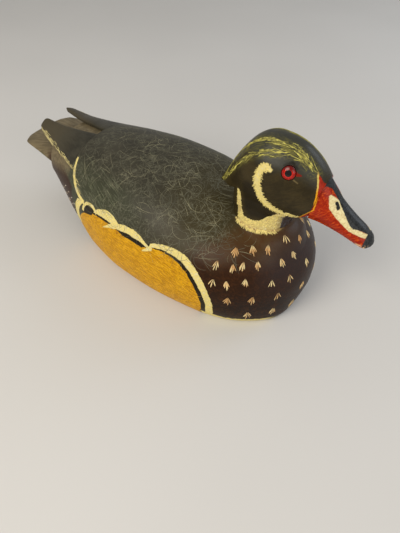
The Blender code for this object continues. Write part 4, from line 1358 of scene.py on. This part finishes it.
class DECOY_OT_crest(PieceOperator, bpy.types.Operator):
    """Streak the crest and forehead with yellow-green"""

    bl_idname = "decoy.crest"
    bl_label = "Crest"

    def build(self):
        paint, half = paint_settings(), shape_settings().streak
        tree = tree_of("head_painted")
        bright = stroke_finish("crest_yellow_green", paint.crest, times(paint.crest, 0.5), 2.5)
        faint = stroke_finish("crest_olive", times(paint.crest, 0.40), times(paint.crest, 0.16), 3)
        for name, finish, count, seed in (("crest_streaks", bright, 95, 11), ("crest_shade_streaks", faint, 130, 12)):
            brush = Brush(name, finish, "head", "head_paint", 0.16 * MM, seed=seed)
            for side, _ in SIDES:
                for lock, points in enumerate(CREST_LOCKS):
                    self.lay(brush, tree, points, side, count if lock == 0 else count * 2 // 3, half)
            brush.lift()

    @staticmethod
    def lay(brush, tree, points, side, count, half):
        dice = brush.dice
        run = run_along(points)
        for _ in range(count):
            at = dice.uniform(0, run[-1] - 3)
            here = Vector([np.interp(at, run, values) for values in zip(*points)])
            there = Vector([np.interp(min(at + 3, run[-1]), run, values) for values in zip(*points)])
            here.y, there.y = side * here.y, side * there.y
            forward = (there - here).normalized()
            spread = (2.2 if at < 40 else 1.6) * min(1, (run[-1] - at) / 30 + 0.25)
            shift = Vector((dice.gauss(0, 1), dice.gauss(0, 0.8), dice.gauss(0, 1))) * spread * 0.6
            aim = forward + Vector((dice.gauss(0, 0.2), dice.gauss(0, 0.12), dice.gauss(-0.08, 0.2)))
            reach = dice.uniform(3.5, 10) * min(1, (run[-1] - at) / 14 + 0.3) * MM
            wide = half * dice.uniform(0.45, 1.15)
            brush.stroke(tree, (here + shift) * MM, aim, reach, wide, dice.uniform(-25, 25), 8)


class DECOY_OT_hairlines(PieceOperator, bpy.types.Operator):
    """Scratch the fine curved lines over the back and shoulders"""

    bl_idname = "decoy.hairlines"
    bl_label = "Hairlines"

    def build(self):
        half, number = shape_settings().hairline, shape_settings().hairlines
        pale = stroke_finish("hairline_pale", (0.30, 0.28, 0.17), (0.12, 0.115, 0.07), 14)
        olive = stroke_finish("hairline_olive", (0.135, 0.13, 0.085), (0.075, 0.075, 0.05), 14)
        tree = tree_of("body")
        layers = (("hairlines_pale", pale, number // 3, 21), ("hairlines_olive", olive, number, 22))
        for name, finish, count, seed in layers:
            brush = Brush(name, finish, "body", "body_paint", 0.07 * MM, seed=seed)
            dice, laid = brush.dice, 0
            while laid < count:
                x, y = dice.uniform(-104, 100), dice.uniform(-74, 74)
                thick = 0.35 + 0.65 * min(1, max(0, (x + 60) / 130))
                beam = float(hull_sizes(np.array(float(x)))[0])
                if dice.random() > thick or abs(y) > beam * 0.985 or math.hypot(x - NECK_X, y) < 36:
                    continue
                z = float(hull_top(np.array(float(x)), np.array(float(y))))
                if z < 64 or (x < WING_STEP + 4 and abs(y) > 60) or (x > 60 and abs(y) > 96 - 0.5 * x):
                    continue
                turn = dice.uniform(0, math.tau)
                aim = Vector((math.cos(turn), math.sin(turn), 0.2 * math.sin(turn)))
                looped = dice.random() < 0.2 + 0.4 * thick
                radius = dice.uniform(5, 13) if looped else dice.uniform(16, 90)
                reach = radius * dice.uniform(1.0, 3.2) if looped else dice.uniform(8, 24)
                curl = dice.choice((-1, 1)) / (radius * MM)
                wide = half * dice.uniform(0.55, 1.25)
                brush.stroke(tree, Vector((x, y, z)) * MM, aim, reach * MM, wide, curl, 12, 0.3, RIDGE)
                laid += 1
            brush.lift()


class DECOY_OT_edges(PieceOperator, bpy.types.Operator):
    """Streak the wing edges with painted highlights, the flank behind the panel and the rump"""

    bl_idname = "decoy.edges"
    bl_label = "Edge Streaks"

    def build(self):
        tree = tree_of("wing_tip_left_painted", "wing_tip_right_painted", "body")
        # The gold strokes along the outer wing edges are painted highlights, laid as raised paint.
        gold = stroke_finish("wing_edge_glint_paint", (0.58, 0.50, 0.22), (0.32, 0.27, 0.12), 5)
        brush = Brush("wing_edge_glint_strokes", gold, "body", "wing_paint", 0.16 * MM, seed=31)
        dice = brush.dice
        for side, _ in SIDES:
            for _ in range(120):
                x = dice.uniform(-150, -72)
                far = wing_edges(np.array(x))[1] + (0 if x < WING_STEP else (x - WING_STEP) * 0.42)
                y = float(far) - abs(dice.gauss(0, 0.9)) - 0.3
                z = float(hull_top(np.array(float(x)), np.array(y)))
                aim = Vector((1, side * 0.34 + dice.gauss(0, 0.05), -0.2 + dice.gauss(0, 0.05)))
                reach, wide = dice.uniform(3, 8) * MM, dice.uniform(0.16, 0.36) * MM
                brush.stroke(tree, Vector((x, side * y, z)) * MM, aim, reach, wide)
        brush.lift()

        tree = tree_of("body")
        green = stroke_finish("flank_olive", (0.20, 0.21, 0.13), (0.10, 0.11, 0.065), 6)
        brush = Brush("flank_streaks", green, "body", "body_paint", 0.10 * MM, seed=32)
        dice = brush.dice
        for side, _ in SIDES:
            for _ in range(120):
                x, z = dice.uniform(-84, -24), dice.uniform(70, 96)
                spot = from_side(tree, side, x, z)
                if spot is None:
                    continue
                aim = Vector((1, 0, -0.55 + dice.gauss(0, 0.08)))
                reach, wide = dice.uniform(6, 16) * MM, dice.uniform(0.09, 0.19) * MM
                brush.stroke(tree, spot, aim, reach, wide, side * dice.uniform(5, 25), 8, 0.35, RIDGE)
        brush.lift()

        white = stroke_finish("dash_white", (0.80, 0.74, 0.60), (0.55, 0.42, 0.30), 4)
        brush = Brush("rump_dashes", white, "body", "body_paint", 0.2 * MM, seed=33)
        dice = brush.dice
        for side, _ in SIDES:
            for n in range(14):
                x, z = -84 - (n % 5) * 5.2 + dice.uniform(-1, 1), 38 + 7.5 * (n // 5) + (n % 5) * 3.4
                spot = from_side(tree, side, x, z)
                if spot is None:
                    continue
                aim = Vector((1, 0, dice.uniform(-0.2, 0.7)))
                brush.stroke(tree, spot, aim, dice.uniform(2.5, 4.5) * MM, dice.uniform(0.3, 0.5) * MM, side * 120, 6)
        brush.lift()


class DECOY_OT_panel(PieceOperator, bpy.types.Operator):
    """Brush the yellow flank panels"""

    bl_idname = "decoy.panel"
    bl_label = "Panel Brush Lines"

    def build(self):
        paint = paint_settings()
        light = stroke_finish("panel_light", (0.78, 0.45, 0.01), tuple(paint.yellow), 2.5, 0.4)
        deep = stroke_finish("panel_deep", (0.36, 0.14, 0.001), (0.50, 0.24, 0.002), 2.5, 0.4)
        tree, fore = tree_of("body", "bottom_board_painted"), SCALLOPS[2][2][:2]
        for name, finish, count, seed in (("panel_lines_light", light, 420, 41), ("panel_lines_deep", deep, 380, 42)):
            brush = Brush(name, finish, "body", "body_paint", 0.10 * MM, seed=seed)
            dice = brush.dice
            for side, _ in SIDES:
                for _ in range(count):
                    x, z = dice.uniform(-72, 76), dice.uniform(4, 62)
                    lobe, rear = math.dist((x, z), fore), math.dist((x, z), PANEL_TIP[:2])
                    if lobe > 40 and (x > 30 or z > 57 or rear > 37 + max(0, x - PANEL_TIP[0])):
                        continue
                    spot = from_side(tree, side, x, z)
                    if spot is None:
                        continue
                    around = math.atan2(z - fore[1], x - fore[0])
                    if lobe < 40 and x > 36:
                        swing = around + (math.pi / 2 if lobe < 24 else dice.gauss(0.9, 0.3))
                    else:
                        swing = dice.gauss(-0.1, 0.35)
                    aim = Vector((math.cos(swing), 0, math.sin(swing)))
                    reach, bend = dice.uniform(4, 10) * MM, dice.uniform(-40, 40)
                    brush.stroke(tree, spot, aim, reach, dice.uniform(0.12, 0.28) * MM, bend, 6, 0.5, RIDGE)
            brush.lift()


class DECOY_OT_stage(PieceOperator, bpy.types.Operator):
    """Set the pale floor, the soft lights and the camera"""

    bl_idname = "decoy.stage"
    bl_label = "Stage"

    def build(self):
        scene, stage = bpy.context.scene, bpy.context.scene.decoy_stage
        bm = bmesh.new()
        bmesh.ops.create_grid(bm, x_segments=2, y_segments=2, size=4)
        f = Finish("pale_floor", roughness=0.7)
        floor = make("floor", bm, f.done(f.mix((0.62, 0.61, 0.59), (0.66, 0.65, 0.63), f.edge(f.noise(400, 2), 0.6))))
        floor.location.z = -0.0002

        world = bpy.data.worlds.new("studio")
        world.use_nodes = True
        sky = world.node_tree.nodes["Background"]
        sky.inputs["Color"].default_value = (1.0, 0.98, 0.95, 1)
        sky.inputs["Strength"].default_value = stage.room
        scene.world = world
        centre = Vector((0.0, 0, 0.06))
        lights = (
            ("key", (-0.25, -1.0, 0.95), 0.9, stage.key, (1.0, 0.93, 0.82)),
            ("fill", (1.1, -0.6, 0.7), 0.9, stage.key * 0.35, (1.0, 0.95, 0.88)),
            ("rim", (0.75, 1.0, 0.85), 0.8, stage.rim, (0.80, 0.88, 1.0)),
        )
        for name, place, size, watts, tint in lights:
            lamp = bpy.data.lights.new(name, "AREA")
            lamp.shape, lamp.size, lamp.energy, lamp.color = "DISK", size, watts, tint
            made = bpy.data.objects.new(name, lamp)
            made.location = place
            made.rotation_euler = (centre - Vector(place)).to_track_quat("-Z", "Y").to_euler()
            scene.collection.objects.link(made)

        lens = bpy.data.cameras.new("camera")
        lens.lens = stage.lens
        lens.clip_start = 0.01
        camera = bpy.data.objects.new("camera", lens)
        camera.location = (0.1973, -0.2398, 0.3075)
        camera.rotation_euler = (math.pi / 2 - 0.85, 0, 0.61)
        scene.collection.objects.link(camera)
        scene.camera = camera
        scene.view_settings.view_transform = "Standard"


PIECES = (
    DECOY_OT_body,
    DECOY_OT_board,
    DECOY_OT_wings,
    DECOY_OT_tail,
    DECOY_OT_head,
    DECOY_OT_bill,
    DECOY_OT_eyes,
    DECOY_OT_fittings,
    DECOY_OT_flecks,
    DECOY_OT_collar,
    DECOY_OT_crest,
    DECOY_OT_hairlines,
    DECOY_OT_edges,
    DECOY_OT_panel,
    DECOY_OT_stage,
)


class DECOY_PT_panel(bpy.types.Panel):
    """Lists the decoy's settings and pieces."""

    bl_label = "Drake Decoy"
    bl_idname = "DECOY_PT_panel"
    bl_space_type = "VIEW_3D"
    bl_region_type = "UI"
    bl_category = "Decoy"

    def draw(self, context):
        layout = self.layout
        for piece in PIECES:
            layout.operator(piece.bl_idname)
        for group in (context.scene.decoy_shape, context.scene.decoy_paint, context.scene.decoy_stage):
            box = layout.box()
            for name in group.__annotations__:
                box.prop(group, name)


GROUPS = {"decoy_paint": DecoyPaint, "decoy_shape": DecoyShape, "decoy_stage": DecoyStage}


def register():
    for cls in (*GROUPS.values(), *PIECES, DECOY_PT_panel):
        bpy.utils.register_class(cls)
    for name, group in GROUPS.items():
        setattr(bpy.types.Scene, name, bpy.props.PointerProperty(type=group))


def unregister():
    for name in GROUPS:
        delattr(bpy.types.Scene, name)
    for cls in reversed((*GROUPS.values(), *PIECES, DECOY_PT_panel)):
        bpy.utils.unregister_class(cls)


def main():
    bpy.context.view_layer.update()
    register()
    for piece in PIECES:
        group, name = piece.bl_idname.split(".")
        getattr(getattr(bpy.ops, group), name)()
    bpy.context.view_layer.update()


if __name__ == "__main__":
    main()
